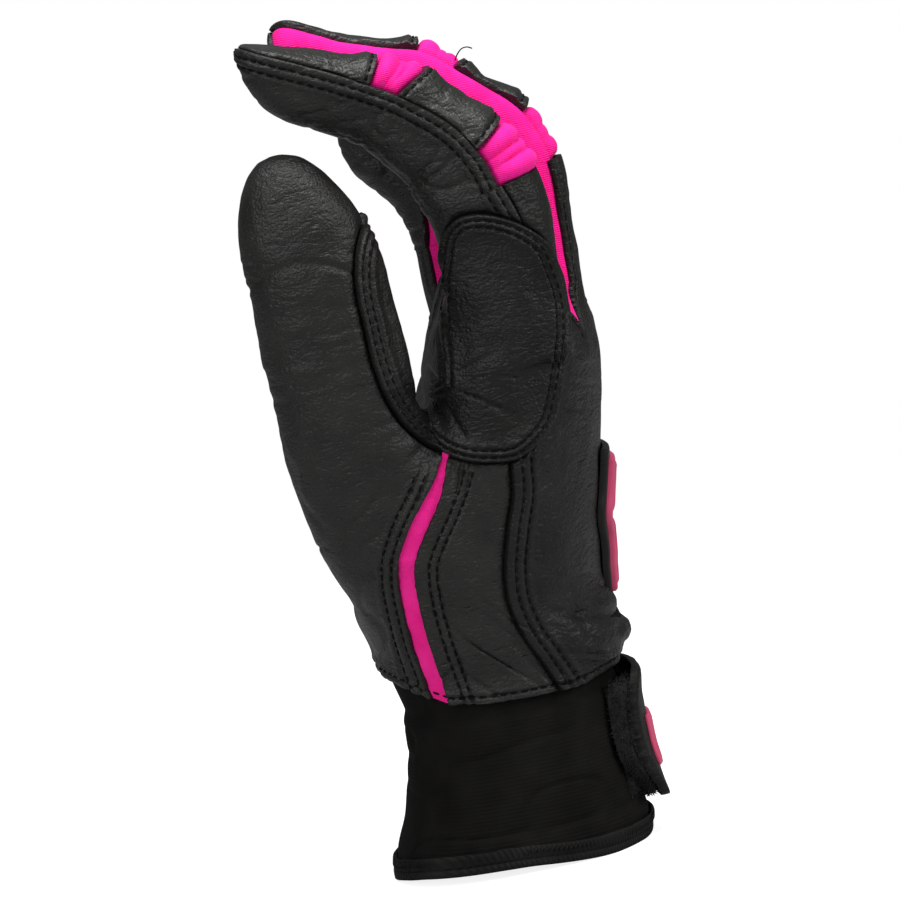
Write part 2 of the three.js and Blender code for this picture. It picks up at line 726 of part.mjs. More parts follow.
// Point on the back of the hand or cuff at a side position, pushed out by `offset`
function backPoint(side, height, offset) {
  const key = height / webHeight;
  const front = readTable(palmShares, key, 1) * palmDepth;
  const back = readTable(palmShares, key, 2) * palmDepth;
  const halfBreadth = readTable(palmShares, key, 3) * knuckleBreadth + offset;
  const halfDepth = (back - front) / 2 + offset;
  const share = THREE.MathUtils.clamp(side / halfBreadth, -backEdgeShare, backEdgeShare);
  const arch = palmArch * share * share * Math.min(key, 1);
  const rise = (1 - Math.abs(share) ** palmSquareness) ** (1 / palmSquareness);
  return new THREE.Vector3((front + back) / 2 + halfDepth * rise - arch, side, height);
}

// Sheet lying on the back, between two sides and two heights
function backSheet(sides, heights, low, high) {
  const grid = (offset) => heights.map((height) => sides.map((side) => backPoint(side, height, offset)));
  return sheetGeometry(grid(high), grid(low));
}

function makeStrap() {
  const middle = strapMiddleHeight;
  const patchLow = seamGap;
  const patchHigh = patchLow + loopPatchThickness;
  const hookLow = patchHigh + seamGap;
  const hookHigh = hookLow + hookPatchThickness;
  const strapLow = hookHigh + seamGap;
  const strapHigh = strapLow + strapThickness;
  const badgeLow = strapHigh + seamGap;
  const span = (half, count) => steps(middle - half, middle + half, count);
  const patchSides = steps(-loopPatchBreadth / 2, loopPatchBreadth / 2, 8);
  addPart('cuff_loop_patch',
    backSheet(patchSides, span(loopPatchHeight / 2, 3), patchLow, patchHigh), hookBlack);
  const hookStart = -strapReachThumbSide - hookPatchOverhang;
  const hookSides = steps(hookStart, hookStart + hookPatchBreadth, 5);
  addPart('strap_hook_patch',
    backSheet(hookSides, span(hookPatchHeight / 2, 3), hookLow, hookHigh), hookBlack);
  const strapSides = steps(-strapReachThumbSide, strapReachLittleSide, 12);
  addPart('strap',
    backSheet(strapSides, span(strapHeight / 2, 4), strapLow, strapHigh), leatherBlack);
  const badgeStart = -strapReachThumbSide + strapBadgeBorder;
  const badgeSides = steps(badgeStart, badgeStart + strapBadgeWidth, 5);
  addPart('strap_badge', backSheet(
    badgeSides, span(strapBadgeHeight / 2, 2), badgeLow, badgeLow + strapBadgeThickness),
  rubberPink);
}

// How much narrower the badge is at its ends than at its middle
const badgeTaperShare = 0.45;

// Rubber badge on the back of the hand: a shield-like plate with a raised pad
function makeBackBadge() {
  const plate = (shrink, low, high) => {
    const reach = badgeHeight / 2 - shrink;
    const start = badgeMiddleHeight - reach;
    const end = badgeMiddleHeight + reach;
    const heights = [...steps(start, end, 6), ...sectionsBetween(start, end)]
      .sort((a, b) => a - b)
      .filter((height, i, all) => i === 0 || height - all[i - 1] > seamGap);
    const grid = (offset) => heights.map((height) => {
      const share = Math.abs(height - badgeMiddleHeight) / reach;
      const half = (badgeWidth / 2) * (1 - badgeTaperShare * share ** 3) - shrink;
      return steps(badgeMiddleSide - half, badgeMiddleSide + half, 6)
        .map((side) => backPoint(side, height, offset));
    });
    return sheetGeometry(grid(high), grid(low));
  };
  const baseHigh = seamGap + badgeBaseThickness;
  addPart('back_badge_base', plate(0, seamGap, baseHigh), rubberBlack);
  addPart('back_badge_pad',
    plate(badgeBorder, baseHigh + seamGap, baseHigh + seamGap + badgeReliefThickness), rubberPink);
}

makeHandPanels();
fingers.forEach(makeFinger);
makeCuff();
makeStrap();
makeBackBadge();

// Stands the glove on z = 0 with the middle of its box over the origin
const box = new THREE.Box3().setFromObject(group);
const middle = box.getCenter(new THREE.Vector3());
group.position.set(-middle.x, -middle.y, -box.min.z);

export default group;
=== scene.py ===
"""Right-hand batting glove standing on its cuff.

A sewn leather hand with a crotch gusset, stretch finger walls and knuckle bands, a knitted cuff
with a bound hem, a hook-and-loop wrist strap and a rubber badge on the back.

Shapes are worked out in millimetres in the hand's own frame: +Z up the fingers, +X out of the
back of the hand, -Y the thumb side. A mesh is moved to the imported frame, in metres, when it is made.
"""
import logging
import math
from dataclasses import dataclass, field, replace
from enum import Enum
from functools import cache, partial
from typing import Callable, Sequence

import bpy
import numpy as np
from mathutils import Matrix, Vector
from mathutils.bvhtree import BVHTree

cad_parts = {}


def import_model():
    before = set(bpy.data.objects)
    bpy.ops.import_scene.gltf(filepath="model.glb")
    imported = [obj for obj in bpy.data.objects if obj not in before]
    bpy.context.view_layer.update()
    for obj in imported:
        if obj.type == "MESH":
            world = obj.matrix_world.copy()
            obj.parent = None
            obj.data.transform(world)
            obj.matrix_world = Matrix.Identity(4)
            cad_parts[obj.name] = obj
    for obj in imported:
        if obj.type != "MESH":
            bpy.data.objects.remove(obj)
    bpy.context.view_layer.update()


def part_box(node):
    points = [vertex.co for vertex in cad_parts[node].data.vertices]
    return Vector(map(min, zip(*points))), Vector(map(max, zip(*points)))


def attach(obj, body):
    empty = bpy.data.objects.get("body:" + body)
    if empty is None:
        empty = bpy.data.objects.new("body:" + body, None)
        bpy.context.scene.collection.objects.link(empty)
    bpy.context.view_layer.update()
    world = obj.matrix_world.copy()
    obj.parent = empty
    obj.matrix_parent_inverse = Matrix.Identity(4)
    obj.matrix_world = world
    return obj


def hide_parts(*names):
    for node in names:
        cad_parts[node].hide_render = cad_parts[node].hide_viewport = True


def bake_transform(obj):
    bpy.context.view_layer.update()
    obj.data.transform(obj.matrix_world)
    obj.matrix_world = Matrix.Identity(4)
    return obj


LOG = logging.getLogger("glove")
MM = 0.001
CORNERS = ((0, 1, 2), (1, 2, 0), (2, 0, 1))
Array = np.ndarray
Table = Sequence[Sequence[float]]
Piece = bpy.types.Object
Material = bpy.types.Material
Tree = bpy.types.NodeTree
Node = bpy.types.Node
Socket = bpy.types.NodeSocket
Triple = tuple[float, float, float]


def smooth_read(table: Table, key: Array, column: int = 1) -> Array:
    """Smooth reading of one column of a table whose first column rises.

    Args:
        table: rows of a key and its values.
        key: places to read at.
        column: which value to read.

    Returns:
        The values, held level past both ends of the table.
    """
    rows = np.asarray(table, float)
    x, y = rows[:, 0], rows[:, column]
    slope = np.gradient(y, x)
    key = np.clip(key, x[0], x[-1])
    i = np.clip(np.searchsorted(x, key) - 1, 0, len(x) - 2)
    span = x[i + 1] - x[i]
    t = (key - x[i]) / span
    a = y[i] * (1 + 2 * t) * (1 - t) ** 2 + slope[i] * span * t * (1 - t) ** 2
    return a + y[i + 1] * t * t * (3 - 2 * t) + slope[i + 1] * span * t * t * (t - 1)


def unit(vectors: Array) -> Array:
    """The same directions at length 1."""
    return vectors / np.maximum(np.linalg.norm(vectors, axis=-1, keepdims=True), 1e-9)


def arc_lengths(path: Array) -> Array:
    """Distance along a path at each of its points."""
    return np.r_[0, np.cumsum(np.linalg.norm(np.diff(path, axis=0), axis=1))]


def ramp(low: float, high: float, value: Array) -> Array:
    """Soft ramp from 0 at `low` to 1 at `high`."""
    t = np.clip((value - low) / (high - low), 0, 1)
    return t * t * (3 - 2 * t)


def bump(value: Array, middle: float, width: float) -> Array:
    """Bell of height 1 round `middle`."""
    return np.exp(-(((value - middle) / width) ** 2))


def squared(value: Array, squareness: float) -> Array:
    """Signed power that squares off a circle into a superellipse."""
    return np.sign(value) * np.abs(value) ** (2 / squareness)


def smooth_union(a: Array, b: Array, reach: float) -> Array:
    """Joins two distance fields with a fillet of about `reach`."""
    h = np.clip(0.5 + 0.5 * (b - a) / reach, 0, 1)
    return b * (1 - h) + a * h - reach * h * (1 - h)


def lumps(points: Array, size: float, seed: int) -> Array:
    """Soft seeded noise from about -1 to 1.

    Args:
        points: places in millimetres, one row each.
        size: width of a lump in millimetres.
        seed: which noise.

    Returns:
        One value for each place.
    """
    table = np.random.default_rng(seed).uniform(-1, 1, (16, 16, 16))
    q = points / size + seed * 0.37
    cell = np.floor(q).astype(int)
    t = q - cell
    t = t * t * (3 - 2 * t)
    total = np.zeros(len(points))
    for corner in np.ndindex(2, 2, 2):
        i, j, k = ((cell + corner) % 16).T
        total += np.prod(np.where(corner, t, 1 - t), axis=1) * table[i, j, k]
    return total


def lumps_on(grid: Array, size: float, seed: int) -> Array:
    """Soft seeded noise at a grid of places."""
    return lumps(grid.reshape(-1, 3), size, seed).reshape(grid.shape[:-1])


def fold_lines(points: Array, sizes: Triple, seed: int, width: float = 0.13) -> Array:
    """Thin wandering crease lines, 1 in their middle.

    Args:
        points: places in millimetres.
        sizes: spacing of the lines along each axis; they run along the longest.
        seed: which lines.
        width: how wide the lines are.

    Returns:
        One value from 0 to 1 for each place.
    """
    broad = lumps(points / np.array(sizes), 1, seed)
    return np.exp(-((broad / width) ** 2))


def leather_lumps(points: Array) -> Array:
    """Soft unevenness that all the glove's leather shares."""
    return 0.4 * lumps(points, 13, 3) + 0.18 * lumps(points, 5.5, 5) + 0.07 * lumps(points, 1.9, 8)


def even_path(points: Table, spacing: float) -> Array:
    """Smooth curve through given points, resampled at even steps."""
    pts = np.asarray(points, float)
    arc = arc_lengths(pts)
    fine = np.linspace(0, arc[-1], len(pts) * 12)
    curve = np.stack([smooth_read(np.c_[arc, row], fine) for row in pts.T], 1)
    arc = arc_lengths(curve)
    place = np.linspace(0, arc[-1], max(int(arc[-1] / spacing), 2) + 1)
    return np.stack([np.interp(place, arc, row) for row in curve.T], 1)


def oval_distance(across: Array, over: Array, half: tuple[Array, Array], squareness: float) -> Array:
    """Rough distance outside a squared oval.

    Args:
        across: offset from its middle along its first axis.
        over: offset along its second axis.
        half: its two half sizes.
        squareness: 2 for an ellipse, more for a squarer one.

    Returns:
        Distances, below 0 inside.
    """
    q = np.abs(across / half[0]) ** squareness + np.abs(over / half[1]) ** squareness
    r = np.maximum(q ** (1 / squareness), 1e-3)
    return np.maximum(np.hypot(across, over) * (1 - 1 / r), -np.minimum(*half))


def shrunk(share: Array) -> Array:
    """Quarter-round step from 1 at share 0 to 0 at share 1 and past it."""
    return 1 - np.sqrt(1 - (1 - np.clip(share, 0, 1)) ** 2)


@dataclass
class Skin:
    """Triangle mesh with a normal at every point, in millimetres in the hand frame."""

    points: Array
    normals: Array
    faces: Array

    def _edges(self) -> tuple[Array, Array]:
        """Unique edges, and each face's three edge numbers."""
        f = self.faces
        pairs = np.sort(np.concatenate([f[:, [0, 1]], f[:, [1, 2]], f[:, [2, 0]]]), axis=1)
        keys, index = np.unique(pairs[:, 0] * len(self.points) + pairs[:, 1], return_inverse=True)
        return np.stack(np.divmod(keys, len(self.points)), 1), index.reshape(3, -1).T

    def _split(self, edges: Array, of_face: Array, chosen: Array, share: Array | float) -> tuple[Array, ...]:
        """Adds a point along each chosen edge.

        Args:
            edges: the mesh's edges.
            of_face: each face's three edge numbers.
            chosen: which edges get a point.
            share: how far along its edge each lies.

        Returns:
            All points, their normals, and each face's new points, -1 where it has none.
        """
        number = np.full(len(edges), -1)
        number[chosen] = len(self.points) + np.arange(chosen.sum())
        a, b = edges[chosen].T
        t = np.broadcast_to(share, len(a))[:, None]
        points = np.vstack([self.points, self.points[a] * (1 - t) + self.points[b] * t])
        normals = np.vstack([self.normals, self.normals[a] * (1 - t) + self.normals[b] * t])
        return points, unit(normals), number[of_face]

    def compact(self) -> "Skin":
        """The same mesh without unused points."""
        used, index = np.unique(self.faces, return_inverse=True)
        return Skin(self.points[used], self.normals[used], index.reshape(self.faces.shape))

    def cut(self, values: Array) -> tuple["Skin", "Skin"]:
        """Cuts the mesh along the line where `values` is 0.

        Args:
            values: one number for each point.

        Returns:
            The part where it is above 0, then the rest.
        """
        inside = values > 0
        edges, of_face = self._edges()
        crossing = inside[edges[:, 0]] != inside[edges[:, 1]]
        a, b = edges[crossing].T
        share = np.clip(values[a] / (values[a] - values[b]), 0.03, 0.97)
        points, normals, middle = self._split(edges, of_face, crossing, share)
        parts = []
        for keep in (True, False):
            kept = inside[self.faces] == keep
            total = kept.sum(1)
            faces = [self.faces[total == 3]]
            for k, n, p in CORNERS:
                one = (total == 1) & kept[:, k]
                faces.append(np.stack([self.faces[one, k], middle[one, k], middle[one, p]], 1))
                two = (total == 2) & ~kept[:, k]
                vn, vp = self.faces[two, n], self.faces[two, p]
                faces.append(np.stack([middle[two, k], vn, vp], 1))
                faces.append(np.stack([middle[two, k], vp, middle[two, p]], 1))
            parts.append(Skin(points, normals, np.concatenate(faces)).compact())
        return parts[0], parts[1]

    def refine(self, chosen: Array) -> "Skin":
        """Halves every edge that lies between two chosen points."""
        edges, of_face = self._edges()
        both = chosen[edges[:, 0]] & chosen[edges[:, 1]]
        points, normals, middle = self._split(edges, of_face, both, 0.5)
        cuts = (middle >= 0).sum(1)
        f = self.faces
        faces = [f[cuts == 0]]
        for k, n, p in CORNERS:
            one = (cuts == 1) & (middle[:, k] >= 0)
            m, a, b, c = middle[one, k], *f[one][:, [k, n, p]].T
            faces += [np.stack(trio, 1) for trio in ((a, m, c), (m, b, c))]
            two = (cuts == 2) & (middle[:, k] < 0)
            mn, mp, a, b, c = *middle[two][:, [n, p]].T, *f[two][:, [k, n, p]].T
            faces += [np.stack(trio, 1) for trio in ((a, b, mn), (a, mn, mp), (mp, mn, c))]
        a, b, c = f[cuts == 3].T
        ab, bc, ca = middle[cuts == 3].T
        faces += [np.stack(trio, 1) for trio in ((a, ab, ca), (ab, b, bc), (ca, bc, c), (ab, bc, ca))]
        return Skin(points, normals, np.concatenate(faces)).compact()

    def relaxed(self, rounds: int) -> "Skin":
        """Evens the mesh out by moving each point towards its neighbours' middle."""
        edges, _ = self._edges()
        points = self.points.copy()
        count = np.bincount(edges.ravel(), minlength=len(points))[:, None]
        for _ in range(rounds):
            total = np.zeros_like(points)
            np.add.at(total, edges[:, 0], points[edges[:, 1]])
            np.add.at(total, edges[:, 1], points[edges[:, 0]])
            points += 0.5 * (total / np.maximum(count, 1) - points)
        a, b, c = (points[self.faces[:, k]] for k in range(3))
        cross = np.cross(b - a, c - a)
        normals = np.zeros_like(points)
        for k in range(3):
            np.add.at(normals, self.faces[:, k], cross)
        return Skin(points, unit(normals), self.faces)


def surface_net(values: Array, origin: Array, step: Array) -> Skin:
    """Skin of the region where a grid of distances is below 0.

    Args:
        values: distances on a regular grid.
        origin: place of the first grid point.
        step: spacing of the grid along each axis.

    Returns:
        The surface, its faces pointing out.
    """
    inside = values < 0
    shape = np.array(values.shape) - 1
    total = np.zeros(tuple(shape) + (3,), np.float32)
    count = np.zeros(tuple(shape), np.float32)
    for axis in range(3):
        low = [slice(None)] * 3
        high = [slice(None)] * 3
        low[axis], high[axis] = slice(None, -1), slice(1, None)
        a, b = values[tuple(low)], values[tuple(high)]
        crossing = inside[tuple(low)] != inside[tuple(high)]
        share = np.where(crossing, a / np.where(crossing, a - b, 1), 0)
        others = [k for k in range(3) if k != axis]
        for first, second in np.ndindex(2, 2):
            window = [slice(None)] * 3
            window[others[0]] = slice(first, first + shape[others[0]])
            window[others[1]] = slice(second, second + shape[others[1]])
            hit = crossing[tuple(window)]
            total[..., axis] += np.where(hit, share[tuple(window)], 0)
            total[..., others[0]] += hit * first
            total[..., others[1]] += hit * second
            count += hit
    used = count > 0
    number = np.full(tuple(shape), -1)
    number[used] = np.arange(used.sum())
    cell = np.argwhere(used)
    points = (cell + total[used] / count[used][:, None]) * step + origin
    quads = []
    for axis in range(3):
        u, v = (axis + 1) % 3, (axis + 2) % 3
        low = [slice(1, -1)] * 3
        high = [slice(1, -1)] * 3
        low[axis], high[axis] = slice(0, -1), slice(1, None)
        a, b = inside[tuple(low)], inside[tuple(high)]
        for flip, hit in ((False, a & ~b), (True, ~a & b)):
            place = np.argwhere(hit) + 1
            place[:, axis] -= 1
            corners = []
            for du, dv in ((0, 0), (1, 0), (1, 1), (0, 1)):
                at = place.copy()
                at[:, u] -= 1 - du
                at[:, v] -= 1 - dv
                corners.append(number[at[:, 0], at[:, 1], at[:, 2]])
            quads.append(np.stack(corners[::-1] if flip else corners, 1))
    quads = np.concatenate(quads)
    quads = quads[(quads >= 0).all(1)]
    faces = np.concatenate([quads[:, [0, 1, 2]], quads[:, [0, 2, 3]]])
    return Skin(points, np.zeros_like(points), faces)


@dataclass(frozen=True)
class FingerPlan:
    """Sizes of one finger: millimetres, degrees, and shares of the sizes that they follow."""

    name: str
    length: float
    slot: float
    root_share: float
    phalanx_shares: tuple[float, ...]
    leans: tuple[float, ...]
    splay: float
    root_half_share: float
    tip_half_share: float
    hinge_share: float
    band_share: float
    seam_side: int
    back_shares: Table
    front_shares: Table
    tip_reach: float
    tip_lift: float
    tip_trim: float


INDEX = FingerPlan(
    "index", 111, -1.5, 0.391, (0.423, 0.243, 0.334), (1, 46, 61.5), -3, 0.96, 1, 0.401, 0.648, -1,
    ((0, 0.9), (0.13, 0.95), (0.25, 1.02), (0.33, 1.08), (0.4, 1.08), (0.436, 1.05), (0.46, 0.97),
     (0.52, 0.92), (0.6, 0.97), (0.655, 0.98), (0.69, 0.9), (0.77, 0.72), (0.86, 0.52), (0.95, 0.36),
     (1, 0.32)),
    ((0, 0.9), (0.2, 1.04), (0.33, 1.12), (0.42, 1.24), (0.52, 1.25), (0.6, 1.17), (0.67, 1.11),
     (0.74, 1.14), (0.82, 1.24), (0.87, 1.25), (0.91, 1.14), (0.955, 0.92), (1, 0.84)),
    8.5, 0.4, 3.1,
)
MIDDLE = FingerPlan(
    "middle", 111, -0.5, 0.468, (0.437, 0.234, 0.329), (-3, 48, 63), 0, 1, 0.783, 0.414, 0.635, 0,
    ((0, 0.92), (0.13, 0.93), (0.22, 0.97), (0.3, 0.95), (0.36, 1.04), (0.41, 1.08), (0.46, 1.06),
     (0.53, 0.93), (0.585, 0.98), (0.65, 1.12), (0.69, 1.15), (0.74, 1.02), (0.785, 0.91), (0.86, 0.8),
     (0.93, 0.86), (1, 0.98)),
    ((0, 0.9), (0.2, 1), (1, 1)),
    7, 2.3, 1.6,
)
RING = FingerPlan(
    "ring", 97, 0.5, 0.402, (0.474, 0.258, 0.268), (0, 48, 74), 1.2, 0.88, 0.935, 0.438, 0.68, 0,
    ((0, 0.9), (0.2, 1), (0.4, 1.02), (0.5, 0.96), (0.68, 1.0), (0.8, 0.92), (1, 0.88)),
    ((0, 0.9), (0.2, 1), (1, 0.95)),
    12, 4.2, 1.5,
)
LITTLE = FingerPlan(
    "little", 69.5, 1.5, 0.257, (0.475, 0.245, 0.28), (4, 37, 52), 6, 0.747, 0.891, 0.446, 0.705, 1,
    ((0, 0.9), (0.2, 1), (0.42, 1.02), (0.55, 0.96), (0.7, 1.0), (0.85, 0.92), (1, 0.88)),
    ((0, 0.9), (0.2, 1), (0.7, 0.95), (1, 0.85)),
    13, 4.2, 3.8,
)


@dataclass
class FingerForm:
    """The surface of one finger, from its root in the palm to its tip."""

    plan: FingerPlan
    half_width: float = 9.95
    squareness: float = 2.5
    root_half: float = 15
    tip_half: float = 9.2
    pitch: float = 21.6
    palm_depth: float = 56
    root_height: float = 118
    tip_width_share: float = 0.93
    flex_zone: float = 9.4
    samples: int = 361
    back_allowance: float = 0.5
    bend_shares: Table = ((0.4, 0.78), (0.24, 0.74), (0.3, 1))

    def __post_init__(self) -> None:
        """Lays out the centreline at even steps with its directions."""
        p = self.plan
        corner = np.array([p.root_share * self.palm_depth, p.slot * self.pitch, self.root_height])
        points = [corner]
        for i, share in enumerate(p.phalanx_shares):
            lean = math.radians(p.leans[i])
            aside = 0 if i == 0 else math.tan(math.radians(p.splay))
            along = np.array([-math.sin(lean), aside, math.cos(lean)])
            reach = share * p.length
            points += [corner + along * reach * part for part in self.bend_shares[i]]
            corner = corner + along * reach
        curve = self._centripetal(np.array(points))
        arc = arc_lengths(curve)
        self.length = float(arc[-1]) - p.tip_trim
        self.hinge = p.hinge_share * p.length
        self.band = p.band_share * p.length
        self.s = np.linspace(0, self.length, self.samples)
        self.place = np.stack([np.interp(self.s, arc, curve[:, k]) for k in range(3)], 1)
        self.along = np.gradient(self.place, self.s, axis=0)
        self.along /= np.linalg.norm(self.along, axis=1)[:, None]
        across = np.array([0, 1, 0]) - self.along * self.along[:, 1:2]
        self.across = across / np.linalg.norm(across, axis=1)[:, None]
        self.out = np.cross(self.across, self.along)

    @staticmethod
    def _centripetal(points: Array, steps: int = 240) -> Array:
        """Centripetal Catmull-Rom curve through points."""
        ends = np.vstack([2 * points[0] - points[1], points, 2 * points[-1] - points[-2]])
        out = []
        for k in range(len(points) - 1):
            p0, p1, p2, p3 = ends[k : k + 4]
            d0, d1, d2 = (np.sum((b - a) ** 2) ** 0.25 for a, b in ((p0, p1), (p1, p2), (p2, p3)))
            t1 = ((p1 - p0) / d0 - (p2 - p0) / (d0 + d1) + (p2 - p1) / d1) * d1
            t2 = ((p2 - p1) / d1 - (p3 - p1) / (d1 + d2) + (p3 - p2) / d2) * d1
            w = np.linspace(0, 1, steps)[:, None]
            bend = (3 * (p2 - p1) - 2 * t1 - t2) * w**2 + (2 * (p1 - p2) + t1 + t2) * w**3
            out.append(p1 + t1 * w + bend)
        return np.concatenate(out)

    def frame(self, s: Array) -> tuple[Array, Array, Array, Array]:
        """Place, along, across and out at distances along the finger."""
        read = lambda rows: np.stack([np.interp(s, self.s, rows[..., k]) for k in range(3)], -1)
        return read(self.place), read(self.along), read(self.across), read(self.out)

    def size(self, s: Array) -> tuple[Array, Array, Array, Array]:
        """Back rise, front rise, half width and lift at distances along the finger."""
        p = self.plan
        share = np.clip(s / self.length, 0, 1)
        root = p.root_half_share * self.root_half
        half = root + (p.tip_half_share * self.tip_half - root) * share
        into = np.clip(1 - (self.length - s) / p.tip_reach, 0, 1)
        rounding = np.sqrt(np.maximum(1 - into**2.3, 0))
        lift = p.tip_lift * (1 - rounding)
        width = self.half_width * (1 + (self.tip_width_share - 1) * share) * rounding
        back = (half * smooth_read(p.back_shares, share) - self.back_allowance) * rounding
        front = half * smooth_read(p.front_shares, share) * rounding
        return back, front, width, lift

    def point(self, s: Array, angle: Array, inset: float = 0) -> Array:
        """Points on the finger; angle 0 is its back and a quarter turn its +Y side."""
        place, _, across, out = self.frame(s)
        back, front, width, lift = self.size(s)
        up = squared(np.cos(angle), self.squareness)
        reach = np.where(up > 0, back, front)
        rise = lift + np.maximum(reach - inset, reach * 0.3) * up
        side = np.maximum(width - inset, width * 0.3) * squared(np.sin(angle), self.squareness)
        return place + out * rise[..., None] + across * side[..., None]

    def locate(self, points: Array) -> tuple[Array, Array, Array]:
        """Distance along the finger, rise and side offset of places near it."""
        s = np.empty(len(points))
        coarse = self.place[::6]
        for start in range(0, len(points), 200000):
            block = slice(start, start + 200000)
            gap = ((points[block, None, :] - coarse[None]) ** 2).sum(2)
            s[block] = self.s[::6][gap.argmin(1)]
        for _ in range(2):
            place, along, _, _ = self.frame(s)
            s = s + ((points - place) * along).sum(1)
        place, _, across, out = self.frame(np.clip(s, 0, self.length))
        gap = points - place
        return s, (gap * out).sum(1), (gap * across).sum(1)

    def distance(self, points: Array, top: float) -> Array:
        """Rough distance outside the finger's stub, which ends at `top` along it."""
        s, rise, side = self.locate(points)
        back, front, width, lift = self.size(np.clip(s, 0, self.length))
        rise = rise - lift
        radial = oval_distance(rise, side, (np.where(rise > 0, back, front), width), self.squareness)
        return np.maximum(np.maximum(radial, s - top), -s - 2)


@dataclass
class HandForm:
    """Palm, thumb and finger stubs as one smooth body."""

    web_height: float = 138
    palm_depth: float = 56
    knuckle_breadth: float = 86
    palm_arch: float = 4.5
    squareness: float = 2.35
    thumb_top: float = 177
    thumb_tip_trim: float = 1.8
    thumb_half_width: float = 16.6
    thumb_half_thickness: float = 12.4
    thumb_outset: float = 36
    thumb_dome_share: float = 0.81
    palm_top: float = 139.5
    palm_shares: Table = (
        (0, -0.527, 0.554, 0.376), (0.036, -0.509, 0.568, 0.376), (0.094, -0.454, 0.562, 0.365),
        (0.145, -0.42, 0.555, 0.359), (0.217, -0.386, 0.55, 0.347), (0.268, -0.382, 0.55, 0.341),
        (0.326, -0.413, 0.585, 0.353), (0.345, -0.424, 0.63, 0.36), (0.362, -0.434, 0.632, 0.371),
        (0.395, -0.448, 0.61, 0.386), (0.42, -0.468, 0.582, 0.394), (0.447, -0.491, 0.567, 0.402),
        (0.485, -0.482, 0.578, 0.415), (0.543, -0.43, 0.595, 0.435), (0.652, -0.268, 0.654, 0.459),
        (0.761, -0.107, 0.705, 0.478), (0.841, -0.027, 0.73, 0.49), (0.9, 0.03, 0.71, 0.492),
        (0.95, 0.09, 0.66, 0.488), (1.0, 0.16, 0.58, 0.478), (1.035, 0.22, 0.5, 0.46),
    )
    thumb_shares: Table = (
        (0.31, -0.02, 1.1, 0.3, 1.2), (0.37, -0.085, 1.29, 0.42, 1.3), (0.43, -0.16, 1.31, 0.56, 1.28),
        (0.49, -0.24, 1.2, 0.68, 1.2), (0.55, -0.303, 1.1, 0.78, 1.1), (0.61, -0.345, 1.01, 0.87, 1.04),
        (0.69, -0.358, 0.985, 0.95, 1), (0.77, -0.37, 0.975, 1, 1), (0.85, -0.379, 0.955, 1.04, 0.99),
        (0.9, -0.4, 0.93, 1.06, 0.97), (0.95, -0.42, 0.91, 1.07, 0.95), (1, -0.44, 0.9, 1.07, 0.94),
    )

    def palm_section(self, height: Array) -> tuple[Array, Array, Array]:
        """Front face, back face and half breadth of the hand at heights."""
        key = height / self.web_height
        front = smooth_read(self.palm_shares, key, 1) * self.palm_depth
        back = smooth_read(self.palm_shares, key, 2) * self.palm_depth
        return front, back, smooth_read(self.palm_shares, key, 3) * self.knuckle_breadth

    def palm_ring(self, height: Array, angle: Array, inset: Array | float = 0) -> Array:
        """Points round the hand or cuff; angle 0 faces +X and a quarter turn +Y."""
        front, back, half = self.palm_section(height)
        across = squared(np.sin(angle), self.squareness)
        depth = ((back - front) / 2 - inset) * squared(np.cos(angle), self.squareness)
        arch = self.palm_arch * across**2 * np.clip(height / self.web_height, 0, 1)
        x = (front + back) / 2 + depth - arch
        return np.stack([x, (half - inset) * across, height + 0 * across], -1)

    def palm_distance(self, points: Array) -> Array:
        """Rough distance outside the palm."""
        x, y, z = points.T
        front, back, half = self.palm_section(z)
        arch = self.palm_arch * np.clip(y / half, -1.2, 1.2) ** 2 * np.clip(z / self.web_height, 0, 1)
        dx = x + arch - (front + back) / 2
        radial = oval_distance(dx, y, ((back - front) / 2, half), self.squareness)
        return -smooth_union(-radial, -(z - self.palm_top), 5)

    def thumb_distance(self, points: Array) -> Array:
        """Rough distance outside the thumb."""
        x, y, z = points.T
        key = z / self.thumb_top
        read = lambda column: smooth_read(self.thumb_shares, key, column)
        start = self.thumb_dome_share
        end = 1 - self.thumb_tip_trim / self.thumb_top
        into = np.clip((key - start) / (end - start), 0, 1)
        dome = np.maximum(1 - into**2.2, 1e-5) ** (1 / 2.2)
        half = (read(2) * self.thumb_half_width * dome, read(4) * self.thumb_half_thickness * dome)
        dx, dy = x - read(1) * self.palm_depth, y + read(3) * self.thumb_outset
        radial = oval_distance(dx, dy, half, self.squareness)
        low = self.thumb_shares[0][0] * self.thumb_top
        return np.maximum(np.maximum(radial, z - self.thumb_top + self.thumb_tip_trim), low - z)

    def skin(self, fingers: Sequence[FingerForm], step: float) -> Skin:
        """The whole body's skin, meshed on a grid of about `step`."""
        low, high = np.array([-43.0, -55.0, 34.0]), np.array([46.0, 51.0, 179.0])
        size = np.array([step, step * 0.8, step])
        axes = [np.arange(low[k], high[k], size[k]) for k in range(3)]
        grid = np.stack(np.meshgrid(*axes, indexing="ij"), -1)
        points = grid.reshape(-1, 3)
        x, y, z = points.T
        body, stubs = np.full((2, len(points)), 9.0)
        near = (z < 150) & (np.abs(y) < 48)
        body[near] = self.palm_distance(points[near])
        near = (x < 26) & (y < -4)
        body[near] = smooth_union(body[near], self.thumb_distance(points[near]), 4.5)
        for finger in fingers:
            near = (np.abs(y - finger.plan.slot * finger.pitch) < 15) & (z > 112) & (z < 172) & (x > -16)
            stubs[near] = np.minimum(stubs[near], finger.distance(points[near], finger.hinge + 6))
        body = smooth_union(body, stubs, 2.2).reshape(grid.shape[:3])
        return surface_net(body.astype(np.float32), low, size).relaxed(2)


